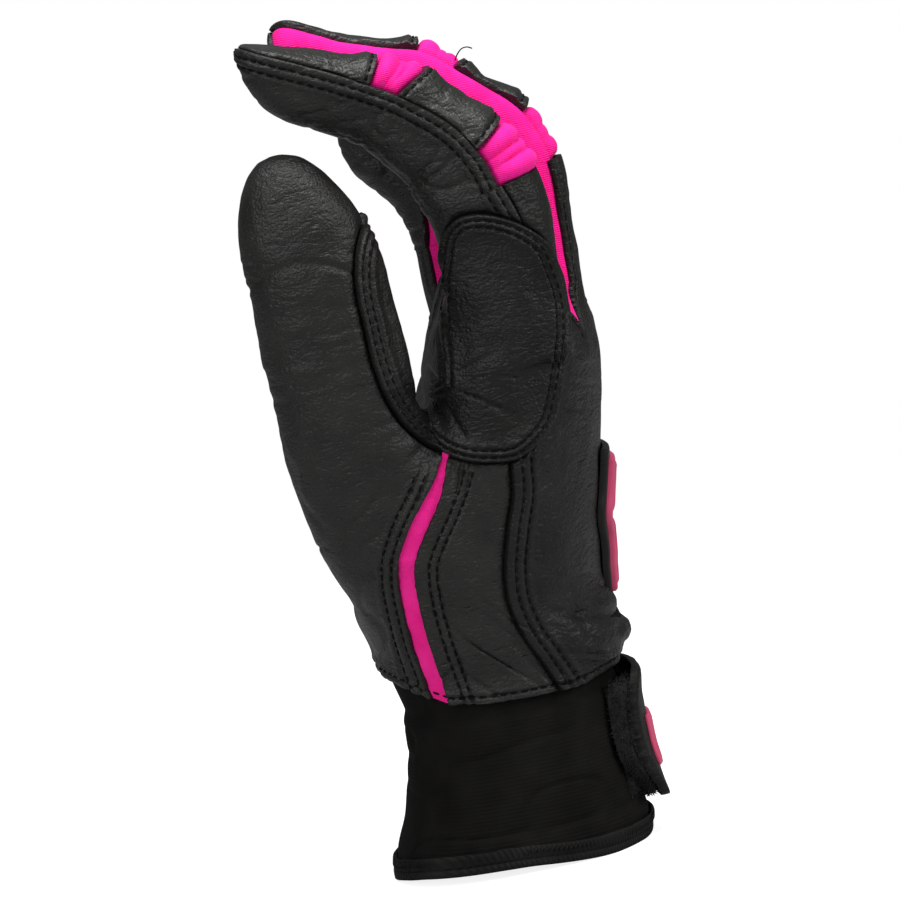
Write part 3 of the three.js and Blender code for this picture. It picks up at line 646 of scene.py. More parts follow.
class Surface:
    """Common ways to turn worked-out points into finished meshes."""

    shift = Vector((0, 0, 0))
    crease = math.radians(50)

    @classmethod
    def to_frame(cls, points: Array) -> Array:
        """Hand-frame millimetres to packed-frame metres."""
        return points * MM + np.array(cls.shift)

    @classmethod
    def make(cls, name: str, points: Array, faces: Sequence, finish: str) -> Piece:
        """Makes a mesh object from hand-frame points.

        Args:
            name: the piece's name.
            points: millimetres in the hand frame.
            faces: corner numbers, three or four a face.
            finish: the name of its finish.

        Returns:
            The object, at the origin, with its place in its mesh.
        """
        faces = np.asarray(faces)
        mesh = bpy.data.meshes.new(name)
        mesh.vertices.add(len(points))
        mesh.vertices.foreach_set("co", cls.to_frame(points).astype(np.float32).ravel())
        mesh.loops.add(faces.size)
        mesh.loops.foreach_set("vertex_index", faces.astype(np.int32).ravel())
        mesh.polygons.add(len(faces))
        mesh.polygons.foreach_set("loop_start", np.arange(0, faces.size, faces.shape[1], dtype=np.int32))
        mesh.update(calc_edges=True)
        mesh.validate()
        mesh.materials.append(dressed(finish))
        mesh.polygons.foreach_set("use_smooth", [True] * len(mesh.polygons))
        return in_scene(name + "_form", mesh)

    @classmethod
    def shell(cls, name: str, skin: Skin, relief: Array, thickness: float, finish: str) -> Piece:
        """Closed leather shell over a skin.

        Args:
            name: the piece's name.
            skin: the skin before its relief.
            relief: how far each point stands out.
            thickness: how far the inner face lies under the skin.
            finish: the name of its finish.

        Returns:
            The finished object.
        """
        outer = skin.points + skin.normals * relief[:, None]
        inner = skin.points - skin.normals * (thickness - np.minimum(relief, 0))[:, None]
        count = len(skin.points)
        f = skin.faces
        pairs = np.concatenate([f[:, [0, 1]], f[:, [1, 2]], f[:, [2, 0]]])
        keys = pairs @ [count, 1]
        a, b = pairs[~np.isin(keys, pairs @ [1, count])].T
        walls = np.concatenate([np.stack([b, a, a + count], 1), np.stack([b, a + count, b + count], 1)])
        faces = np.concatenate([f, f[:, ::-1] + count, walls])
        made = cls.make(name, np.vstack([outer, inner]), faces, finish)
        cls._thin_inside(made, count, len(f) / len(faces) + 0.12)
        made.data.set_sharp_from_angle(angle=cls.crease)
        return made

    @staticmethod
    def _thin_inside(made: Piece, first: int, ratio: float) -> None:
        """Thins out the hidden inner layer, whose points start at `first`."""
        group = made.vertex_groups.new(name="inside")
        group.add(range(first, len(made.data.vertices)), 1.0, "REPLACE")
        thin = made.modifiers.new("thin", "DECIMATE")
        thin.vertex_group = "inside"
        thin.vertex_group_factor = 100
        thin.ratio = ratio
        graph = bpy.context.evaluated_depsgraph_get()
        old, made.data = made.data, bpy.data.meshes.new_from_object(made.evaluated_get(graph))
        made.modifiers.clear()
        bpy.data.meshes.remove(old)
        made.vertex_groups.clear()

    @classmethod
    def sheet(cls, name: str, outer: Array, inner: Array, finish: str, closed: bool = False) -> Piece:
        """Closed sheet between two grids of points, or a closed ring of them.

        Args:
            name: the piece's name.
            outer: rows by columns by 3, the outer face.
            inner: the same for the inner face.
            finish: the name of its finish.
            closed: whether the last column joins the first.

        Returns:
            The finished object.
        """
        rows, columns = outer.shape[:2]
        size = rows * columns
        number = np.arange(size).reshape(rows, columns)
        if closed:
            number = np.c_[number, number[:, 0]]
        face = np.stack([number[:-1, :-1], number[:-1, 1:], number[1:, 1:], number[1:, :-1]], -1)
        face = face.reshape(-1, 4)
        faces = [face, face[:, ::-1] + size]
        rims = [number[0], number[-1][::-1]]
        if not closed:
            rims += [number[:, 0][::-1], number[:, -1]]
        for rim in rims:
            p, q = rim[:-1], rim[1:]
            faces.append(np.stack([q, p, p + size, q + size], 1))
        points = np.vstack([outer.reshape(-1, 3), inner.reshape(-1, 3)])
        made = cls.make(name, points, np.concatenate(faces), finish)
        made.data.set_sharp_from_angle(angle=cls.crease)
        return made

    @staticmethod
    def grid_normals(grid: Array) -> Array:
        """Normals of a grid of points whose columns run anticlockwise seen from outside."""
        return unit(np.cross(np.gradient(grid, axis=1), np.gradient(grid, axis=0)))


Limit = float | Callable[..., Array]


def read_limit(limit: Limit, *keys: Array) -> Array:
    """A limit that is one number, or that changes with its keys."""
    return limit(*keys) if callable(limit) else np.full(np.shape(keys[0]), float(limit))


def tube(path: Array, radius: float, sides: int = 6) -> tuple[Array, Array]:
    """Points and four-sided faces of a thin tube along a path, closed at its ends."""
    along = unit(np.gradient(path, axis=0))
    over = unit(np.cross(along, [0.0, 0.0, 1.0]))
    up = np.cross(over, along)
    turn = np.linspace(0, math.tau, sides, endpoint=False)[None, :, None]
    ring = path[:, None] + radius * (over[:, None] * np.cos(turn) + up[:, None] * np.sin(turn))
    number = np.arange(len(path) * sides).reshape(len(path), sides)
    beside = np.roll(number, -1, 1)
    faces = np.stack([number[:-1], number[1:], beside[1:], beside[:-1]], -1).reshape(-1, 4)
    across = np.arange(sides // 2 - 1)
    end = np.stack([across, across + 1, sides - 2 - across, sides - 1 - across], 1)
    return ring.reshape(-1, 3), np.vstack([faces, end, end[:, ::-1] + number[-1, 0]])


class SeamPath:
    """A seam as it is seen from the thumb side: a smooth path of x and z in millimetres."""

    def __init__(self, points: Table, closed: bool = False) -> None:
        """Smooths the path and lays out its segments."""
        pts = np.asarray(points, float)
        self.path = even_path(np.vstack([pts, pts[:1]]) if closed else pts, 1.2)
        self.step = np.diff(self.path, axis=0)
        self.length = np.linalg.norm(self.step, axis=1)
        self.arc = arc_lengths(self.path)

    def measure(self, points: Array) -> tuple[Array, Array]:
        """Distance of places from the seam, above 0 on its left, and place along it."""
        signed, along = np.empty((2, len(points)))
        for start in range(0, len(points), 30000):
            block = slice(start, start + 30000)
            gap = points[block][:, None, [0, 2]] - self.path[None, :-1]
            share = np.clip((gap * self.step).sum(2) / self.length**2, 0, 1)
            squares = ((gap - share[..., None] * self.step) ** 2).sum(2)
            nearest = squares.argmin(1)
            rows = np.arange(len(nearest))
            step, from_start = self.step[nearest], gap[rows, nearest]
            left = step[:, 0] * from_start[:, 1] - step[:, 1] * from_start[:, 0] >= 0
            signed[block] = np.sqrt(squares[rows, nearest]) * np.where(left, 1, -1)
            along[block] = self.arc[nearest] + share[rows, nearest] * self.length[nearest]
        return signed, along

    def within(self, points: Array) -> tuple[Array, Array]:
        """Distance inside the closed path, below 0 outside it, and place along it."""
        distance, along = self.measure(points)
        x, z = points[:, 0], points[:, 2]
        inside = np.zeros(len(points), bool)
        for a, b in zip(self.path[:-1], self.path[1:]):
            if a[1] != b[1]:
                crosses = (a[1] > z) != (b[1] > z)
                inside ^= crosses & (x < (b[0] - a[0]) * (z - a[1]) / (b[1] - a[1]) + a[0])
        return np.abs(distance) * np.where(inside, 1, -1), along

    def beside(self, distance: float) -> Array:
        """The path moved to its left."""
        slope = unit(np.gradient(self.path, axis=0))
        return self.path + np.stack([-slope[:, 1], slope[:, 0]], 1) * distance


class Edge(Enum):
    """How a panel ends at a seam."""

    OVER = "lies folded over its neighbour"
    CUT = "lies over its neighbour with a raw cut edge"
    TURNED = "is turned in with a low roll"
    UNDER = "passes under its neighbour"

    def relief(self, distance: Array, rows: Sequence[float] = ()) -> Array:
        """How far the panel stands out near this edge.

        Args:
            distance: millimetres in from the edge.
            rows: distances of stitch rows from the edge, each in its own groove.

        Returns:
            Millimetres out of the plain surface.
        """
        d = np.maximum(distance, 0)
        shoulder = 1 - shrunk(d / 0.65)
        shapes = {
            Edge.OVER: lambda: 1.15 * shoulder * (1 - ramp(1.6, 7.0, d)),
            Edge.CUT: lambda: 0.6 * np.clip(d / 0.2, 0, 1) * (1 - ramp(1.5, 6.5, d)),
            Edge.TURNED: lambda: 0.5 * shoulder * (1 - ramp(0.8, 2.6, d)) - 0.25 * bump(d, 0, 0.4),
            Edge.UNDER: lambda: -0.45 * (1 - ramp(0, 2.6, d)) - 0.55 * (1 - ramp(0, 0.8, d)),
        }
        height = shapes[self]()
        for row in rows:
            height = height - 0.5 * bump(d, row, 0.42) + 0.16 * bump(d, row + 1.05, 0.5)
        return height


@dataclass
class PanelGrid:
    """A panel as a grid of surface points with its distances from its four edges."""

    points: Array
    normals: Array
    low: Array
    high: Array
    first: Array
    last: Array

    def guide(self, edge: str, distance: float, trim: float = 1.0) -> tuple[Array, Array]:
        """Line on the panel at a distance from one of its edges.

        Args:
            edge: which distance to follow: low, high, first or last.
            distance: millimetres in from that edge.
            trim: millimetres left free at both ends.

        Returns:
            Points of the line, and the surface's normals there.
        """
        swap = edge in ("low", "high")
        order = (lambda a: np.swapaxes(a, 0, 1)) if swap else (lambda a: a)
        ends = [order(end) for end in ((self.first, self.last) if swap else (self.low, self.high))]
        found = []
        for i, line in enumerate(order(getattr(self, edge))):
            where = np.argmin(np.abs(line - distance))
            if min(end[i][where] for end in ends) < trim or line.max() < distance + 1.2:
                continue
            rising = np.argsort(line)
            read = lambda grid: [np.interp(distance, line[rising], row) for row in order(grid)[i][rising].T]
            found.append((read(self.points), read(self.normals)))
        return tuple(np.array([pair[k] for pair in found]) for k in range(2))


def in_scene(name: str, data: bpy.types.ID) -> Piece:
    """Puts data into the scene as an object at the origin."""
    made = bpy.data.objects.new(name, data)
    bpy.context.scene.collection.objects.link(made)
    return made


def grown(ground: Piece, tree: Tree, sizes: dict[str, object], name: str) -> Piece:
    """Runs a node tree on an object and keeps the result as a plain mesh.

    Args:
        ground: the object that the tree starts from; it is removed.
        tree: the node tree.
        sizes: the tree's inputs by name.
        name: name of the result.

    Returns:
        A new object at the origin.
    """
    modifier = ground.modifiers.new(name, "NODES")
    modifier.node_group = tree
    for item in tree.interface.items_tree:
        if item.item_type == "SOCKET" and item.name in sizes:
            modifier[item.identifier] = sizes[item.name]
    graph = bpy.context.evaluated_depsgraph_get()
    mesh = bpy.data.meshes.new_from_object(ground.evaluated_get(graph))
    mesh.name = name
    bpy.data.objects.remove(ground)
    mesh.polygons.foreach_set("use_smooth", [True] * len(mesh.polygons))
    return in_scene(name, mesh)


@dataclass
class NodeBench:
    """Short ways to wire the nodes of one tree; a material's patterns all read one `place`."""

    tree: Tree
    place: Socket | None = None

    def add(self, kind: str, inputs: dict[str | int, object] | None = None, **settings: object) -> Node:
        """Adds a node.

        Args:
            kind: Blender's name of the node.
            inputs: a value, a socket, or a node whose first output feeds the input.
            settings: the node's other choices.

        Returns:
            The node.
        """
        node = self.tree.nodes.new(kind)
        for label, value in settings.items():
            setattr(node, label, value)
        for label, value in (inputs or {}).items():
            value = value.outputs[0] if isinstance(value, Node) else value
            if isinstance(value, Socket):
                self.tree.links.new(value, node.inputs[label])
            else:
                node.inputs[label].default_value = value
        return node

    @classmethod
    def shapes(cls, name: str, inputs: dict[str, str]) -> tuple["NodeBench", bpy.types.NodeInputs]:
        """Starts a Geometry Nodes tree.

        Args:
            name: the tree's name.
            inputs: the kind of each of its inputs.

        Returns:
            Its bench, and its inputs' sockets.
        """
        tree = bpy.data.node_groups.new(name, "GeometryNodeTree")
        for label, kind in inputs.items():
            tree.interface.new_socket(label, in_out="INPUT", socket_type="NodeSocket" + kind)
        tree.interface.new_socket("Result", in_out="OUTPUT", socket_type="NodeSocketGeometry")
        bench = cls(tree)
        return bench, bench.add("NodeGroupInput").outputs

    def result(self, instances: Node, material: Socket) -> Tree:
        """Ends a Geometry Nodes tree with real meshes in a material."""
        real = self.add("GeometryNodeRealizeInstances", {"Geometry": instances})
        clad = self.add("GeometryNodeSetMaterial", {"Geometry": real, "Material": material})
        self.add("NodeGroupOutput", {"Result": clad})
        return self.tree

    def noise(self, size: float, detail: float) -> Node:
        """Cloudy noise with lumps of `size` millimetres."""
        inputs = {"Vector": self.place, "Scale": 1 / (size * MM), "Detail": detail}
        return self.add("ShaderNodeTexNoise", inputs)

    def cells(self, size: float) -> Node:
        """Rounded cells of `size` millimetres."""
        inputs = {"Vector": self.place, "Scale": 1 / (size * MM), "Smoothness": 0.35}
        return self.scaled(self.add("ShaderNodeTexVoronoi", inputs, feature="SMOOTH_F1"), 1, 0)

    def creases(self, size: float, stretch: Triple) -> Node:
        """Thin wandering creases about `size` millimetres apart, longer where `stretch` is small."""
        turned = self.add("ShaderNodeMapping", {"Vector": self.place, "Scale": stretch})
        inputs = {"Vector": turned, "Scale": 1 / (size * MM), "Detail": 3, "Distortion": 0.4}
        return self.scaled(self.add("ShaderNodeTexNoise", inputs, noise_type="RIDGED_MULTIFRACTAL"), 1, 0)

    def waves(self, size: float, along: Triple) -> Node:
        """Even ribs `size` millimetres apart, stacked in a direction."""
        turns = tuple(v * math.tau / (size * MM) for v in along)
        turned = self.add("ShaderNodeVectorMath", {0: self.place, 1: turns}, operation="DOT_PRODUCT")
        return self.add("ShaderNodeMath", {0: turned.outputs["Value"]}, operation="SINE")

    def scaled(self, value: Node, low: float, high: float) -> Node:
        """A 0 to 1 value spread over another range."""
        return self.add("ShaderNodeMapRange", {"Value": value, "To Min": low, "To Max": high})

    def ramp(self, value: Node, ends: tuple[float, float], colours: Table) -> Node:
        """Blend of two colours as a value rises from one end to the other."""
        node = self.add("ShaderNodeValToRGB", {"Fac": value})
        for stop, place, colour in zip(node.color_ramp.elements, ends, colours):
            stop.position = place
            stop.color = (*colour, 1)
        return node

    def bump(self, height: Node, depth: float, under: Node | None = None) -> Node:
        """Bump of a height in millimetres, on top of another one."""
        below = {} if under is None else {"Normal": under}
        return self.add("ShaderNodeBump", {"Distance": depth * MM, "Height": height, **below})


@dataclass
class StitchRows:
    """Rows of thread on one body, laid along guides by a node tree."""

    name: str
    pitch: float = 2.35
    length: float = 1.8
    width: float = 0.58
    guides: list[tuple[Array, Array]] = field(default_factory=list)

    def add(self, points: Array, normals: Array, lift: float = 0.05) -> None:
        """Adds a guide, lifted a little off the surface."""
        if len(points) > 3:
            out = unit(normals)
            self.guides.append((points + out * lift, out))

    @staticmethod
    @cache
    def tree() -> Tree:
        """Node tree that lays one stitch after another along its guides."""
        bench, start = NodeBench.shapes("stitch_rows", {
            "Guides": "Geometry", "Pitch": "Float", "Length": "Float", "Width": "Float", "Thread": "Material",
        })
        add = bench.add
        curve = add("GeometryNodeMeshToCurve", {"Mesh": start["Guides"]})
        even = add("GeometryNodeResampleCurve", {"Curve": curve, "Length": start["Pitch"]}, mode="LENGTH")
        bead = add("GeometryNodeMeshUVSphere", {"Segments": 8, "Rings": 6, "Radius": 0.5})
        size = add("ShaderNodeCombineXYZ", {"X": start["Length"], "Y": start["Width"], "Z": start["Width"]})
        stretched = add("GeometryNodeTransform", {"Geometry": bead, "Scale": size})
        up = add("GeometryNodeInputNamedAttribute", {"Name": "up"}, data_type="FLOAT_VECTOR")
        along = {"Vector": add("GeometryNodeInputTangent")}
        first = add("FunctionNodeAlignRotationToVector", along, axis="X")
        upright = {"Rotation": first, "Vector": up}
        second = add("FunctionNodeAlignRotationToVector", upright, axis="Z", pivot_axis="X")
        laid = {"Points": even, "Instance": stretched, "Rotation": second}
        return bench.result(add("GeometryNodeInstanceOnPoints", laid), start["Thread"])

    def build(self) -> Piece:
        """Makes the rows as one plain mesh with every stitch."""
        mesh = bpy.data.meshes.new(self.name + "_guides")
        points, normals = (np.concatenate(rows) for rows in zip(*self.guides))
        ends = np.cumsum([len(guide) for guide, _ in self.guides]) - 1
        first = np.setdiff1d(np.arange(len(points)), ends)
        mesh.vertices.add(len(points))
        mesh.vertices.foreach_set("co", Surface.to_frame(points).astype(np.float32).ravel())
        mesh.edges.add(len(first))
        mesh.edges.foreach_set("vertices", np.stack([first, first + 1], 1).astype(np.int32).ravel())
        attribute = mesh.attributes.new("up", "FLOAT_VECTOR", "POINT")
        attribute.data.foreach_set("vector", normals.astype(np.float32).ravel())
        mesh.update()
        sizes = {"Pitch": self.pitch * MM, "Length": self.length * MM, "Width": self.width * MM,
                 "Thread": dressed("black_thread")}
        return grown(in_scene(self.name + "_guides", mesh), self.tree(), sizes, self.name)


@dataclass
class PileTufts:
    """Short stiff fibres scattered over a hook or loop patch by a node tree."""

    name: str
    density: float = 2.6e6
    length: float = 1.15
    width: float = 0.17
    seed: int = 7

    @staticmethod
    @cache
    def tree() -> Tree:
        """Node tree that scatters leaning fibres over a surface."""
        bench, start = NodeBench.shapes("pile_tufts", {
            "Patch": "Geometry", "Density": "Float", "Length": "Float", "Width": "Float", "Seed": "Int",
            "Fibre": "Material",
        })
        add = bench.add
        seed = {"Seed": start["Seed"]}
        over = {"Mesh": start["Patch"], "Density": start["Density"], **seed}
        spread = add("GeometryNodeDistributePointsOnFaces", over)
        cone = {"Vertices": 4, "Radius Bottom": start["Width"], "Depth": start["Length"]}
        fibre = add("GeometryNodeMeshCone", cone)
        lean = {"Min": (-0.8, -0.8, 0.0), "Max": (0.8, 0.8, 6.28), **seed}
        leaning = add("FunctionNodeRandomValue", lean, data_type="FLOAT_VECTOR")
        turn = {"Rotation": spread.outputs["Rotation"], "Rotate By": leaning}
        turned = add("FunctionNodeRotateRotation", turn, rotation_space="LOCAL")
        size = add("FunctionNodeRandomValue", {2: 0.5, 3: 1.25, **seed}, data_type="FLOAT")
        laid = {"Points": spread, "Instance": fibre, "Rotation": turned, "Scale": size.outputs[1]}
        return bench.result(add("GeometryNodeInstanceOnPoints", laid), start["Fibre"])

    def build(self, patch: Piece, finish: str) -> Piece:
        """Makes the tufts of one finished patch as one plain mesh."""
        ground = in_scene(self.name + "_ground", patch.data.copy())
        sizes = {"Density": self.density, "Length": self.length * MM, "Width": self.width * MM,
                 "Seed": self.seed, "Fibre": dressed(finish)}
        return grown(ground, self.tree(), sizes, self.name)


class Pattern(Enum):
    """What the surface of a finish is made of."""

    GRAIN = "pebbled leather"
    KNIT = "fine stretch knit"
    NAP = "brushed suede"
    JERSEY = "smooth jersey over foam"
    TWILL = "ribbed woven tape"
    MOULDED = "moulded rubber"
    PILE = "fuzzy loops"
    THREAD = "twisted thread"


@dataclass(frozen=True)
class Finish:
    """One finish of the glove: its colours, gloss and the scale of its texture."""

    name: str
    slot: str
    pattern: Pattern
    colour: Triple
    worn: Triple
    roughness: float
    specular: float
    texture_size: float
    texture_depth: float
    sheen: float = 0.0

    def build(self) -> Material:
        """Makes the finish as a material."""
        material = bpy.data.materials.new(self.name)
        material.use_nodes = True
        bench = NodeBench(material.node_tree)
        bench.place = bench.add("ShaderNodeTexCoord").outputs["Object"]
        colour = bench.ramp(bench.noise(9, 4), (0.3, 0.72), (self.colour, self.worn))
        gloss = bench.scaled(bench.noise(3, 3), self.roughness - 0.07, self.roughness + 0.07)
        inputs = {"Base Color": colour, "Roughness": gloss, "Normal": self._texture(bench)}
        shader = bench.tree.nodes["Principled BSDF"].inputs
        for label, node in inputs.items():
            bench.tree.links.new(node.outputs[0], shader[label])
        shader["Specular IOR Level"].default_value = self.specular
        shader["Sheen Weight"].default_value = self.sheen
        shader["Sheen Roughness"].default_value = 0.4
        return material

    def _texture(self, bench: NodeBench) -> Node:
        """Bumped normal of this finish's pattern."""
        size, depth = self.texture_size, self.texture_depth
        if self.pattern is Pattern.GRAIN:
            pebbles = bench.bump(bench.cells(size), depth)
            fine = bench.bump(bench.creases(size * 1.5, (0.65, 0.65, 1.5)), depth * 1.7, pebbles)
            creased = bench.bump(bench.creases(size * 3.6, (0.7, 0.7, 1.7)), depth * 2.4, fine)
            return bench.bump(bench.noise(size * 1.5, 4), depth, creased)
        if self.pattern in (Pattern.KNIT, Pattern.JERSEY):
            loops = bench.bump(bench.waves(size, (0, 0, 1)), depth)
            return bench.bump(bench.noise(size * 1.5, 3), depth, loops)
        if self.pattern is Pattern.TWILL:
            ribs = bench.bump(bench.waves(size, (0.7, 0.7, 0.2)), depth)
            return bench.bump(bench.noise(size, 3), depth * 0.5, ribs)
        if self.pattern is Pattern.MOULDED:
            return bench.bump(bench.noise(size, 4), depth)
        fuzz = bench.bump(bench.noise(size, 6), depth)
        return bench.bump(bench.noise(size * 5, 4), depth * 2, fuzz)


BLACK = (0.0068, 0.0068, 0.0061)
RUBBED = (0.0145, 0.0145, 0.013)
FINISHES = {
    finish.name: finish
    for finish in (
        Finish("palm_leather", "palm_leather", Pattern.GRAIN, BLACK, RUBBED, 0.47, 0.3, 0.6, 0.13),
        Finish("back_leather", "back_leather", Pattern.GRAIN, (0.0052, 0.0052, 0.0047),
               (0.0108, 0.0108, 0.0098), 0.46, 0.2, 0.75, 0.15),
        Finish("gusset_leather", "palm_leather", Pattern.GRAIN, (0.004, 0.004, 0.0036),
               (0.0086, 0.0086, 0.0078), 0.46, 0.2, 0.65, 0.16),
        Finish("finger_leather", "back_leather", Pattern.GRAIN, (0.0088, 0.0088, 0.008),
               (0.02, 0.02, 0.0182), 0.43, 0.36, 0.7, 0.15),
        Finish("fourchette_spandex", "fourchette_spandex", Pattern.KNIT, (0.88, 0.008, 0.235),
               (0.98, 0.018, 0.33), 0.72, 0.08, 0.5, 0.045, 0.03),
        Finish("flex_spandex", "flex_spandex", Pattern.KNIT, (0.88, 0.009, 0.245),
               (0.98, 0.02, 0.34), 0.68, 0.1, 0.45, 0.045, 0.04),
        Finish("accent_suede", "accent_suede", Pattern.NAP, (0.82, 0.014, 0.235), (0.98, 0.03, 0.34),
               0.88, 0.06, 0.4, 0.16, 0.1),
        Finish("neoprene", "neoprene", Pattern.JERSEY, (0.0052, 0.0051, 0.0046), (0.009, 0.0088, 0.008),
               0.85, 0.04, 0.9, 0.022),
        Finish("hem_tape", "hem_tape", Pattern.TWILL, (0.0072, 0.0071, 0.0068), (0.015, 0.0147, 0.014),
               0.8, 0.08, 0.9, 0.11),
        Finish("strap_skin", "strap_skin", Pattern.GRAIN, (0.005, 0.005, 0.0046), (0.0098, 0.0098, 0.0089),
               0.55, 0.12, 0.4, 0.08),
        Finish("hook_and_loop", "hook_and_loop", Pattern.PILE, (0.0032, 0.0032, 0.0032),
               (0.015, 0.015, 0.015), 0.75, 0.14, 0.3, 0.14, 0.02),
        Finish("pink_rubber", "pink_rubber", Pattern.MOULDED, (0.5, 0.045, 0.12), (0.58, 0.06, 0.15),
               0.46, 0.35, 0.6, 0.012),
        Finish("black_rubber", "black_rubber", Pattern.MOULDED, (0.0042, 0.0042, 0.004),
               (0.0082, 0.0082, 0.0078), 0.5, 0.2, 0.5, 0.015),
        Finish("black_thread", "palm_leather", Pattern.THREAD, (0.0022, 0.0022, 0.0022),
               (0.0055, 0.0055, 0.0053), 0.7, 0.08, 0.25, 0.05),
    )
}


@cache
def dressed(finish: str) -> Material:
    """The material of a named finish, made once when it is first asked for."""
    return FINISHES[finish].build()


def seat(made: Piece, finish: str, body: str = "root", replaces: Sequence[str] = (),
         blend: tuple[Array, Array] | None = None) -> None:
    """Seats a finished piece in the frame.

    Args:
        made: the piece.
        finish: the name of its finish; not used.
        body: the body that it moves with when no blend is given; otherwise it is only named in the log.
        replaces: the frame's nodes that it stands for.
        blend: where it was to start and end turning from the root to its body, in hand millimetres; the
            places are worked out but not used, and the piece is fixed in place instead.
    """
    if blend is None:
        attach(made, body)
    else:
        start, end = (tuple(Surface.to_frame(place)) for place in blend)
        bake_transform(made)
        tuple(start)
        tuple(end)
    if replaces:
        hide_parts(*replaces)
    LOG.info("%s: %d faces on %s", made.name, len(made.data.polygons), body)


def hand_path(shares: Table) -> Array:
    """Reads rows of palm depth and web height shares as x and z in millimetres."""
    return np.asarray(shares, float) * [HandForm.palm_depth, HandForm.web_height]


LEATHER_EDGE = hand_path((
    (-0.8, 0.37), (-0.459, 0.364), (-0.386, 0.348), (-0.298, 0.329), (-0.186, 0.304),
    (-0.01, 0.293), (0.21, 0.29), (0.4, 0.289), (0.5, 0.3), (0.6, 0.297), (1.1, 0.297),
))
GUSSET_EDGE = hand_path((
    (-0.107, 1.143), (-0.171, 1.1), (-0.214, 1.016), (-0.211, 0.964), (-0.202, 0.893),
    (-0.171, 0.83), (-0.118, 0.782), (-0.03, 0.74), (0.064, 0.715), (0.186, 0.7),
    (0.291, 0.697), (0.386, 0.716), (0.462, 0.744), (0.512, 0.784), (0.557, 0.833),
    (0.605, 0.899), (0.618, 0.95), (0.604, 0.995), (0.575, 1.041), (0.512, 1.072),
    (0.418, 1.097), (0.316, 1.11), (0.23, 1.107), (0.179, 1.09), (0.138, 1.049),
    (0.098, 0.991), (0.07, 0.924), (0.054, 0.872), (0.036, 0.842),
))
CROTCH_EDGE = hand_path(((0.012, 0.85), (-0.01, 0.9), (-0.02, 0.97), (-0.03, 1.05), (-0.035, 1.15)))
ACCENT_LINE = hand_path((
    (-0.185, 0.25), (-0.205, 0.313), (-0.225, 0.364), (-0.244, 0.429), (-0.25, 0.484),
    (-0.248, 0.519), (-0.23, 0.56), (-0.186, 0.595), (-0.105, 0.643), (-0.042, 0.682), (0.012, 0.73),
))
BACK_SEAM = hand_path((
    (0.31, 0.25), (0.288, 0.291), (0.246, 0.338), (0.184, 0.397), (0.15, 0.458), (0.163, 0.52),
    (0.202, 0.578), (0.255, 0.645), (0.27, 0.693), (0.32, 0.76), (0.4, 0.85), (0.52, 1.02),
    (0.485, 1.1), (0.43, 1.16), (0.36, 1.21),
))
ULNAR_SEAM = hand_path(((0.11, 0.25), (0.13, 0.45), (0.17, 0.65), (0.24, 0.83), (0.29, 0.93), (0.29, 1.2)))


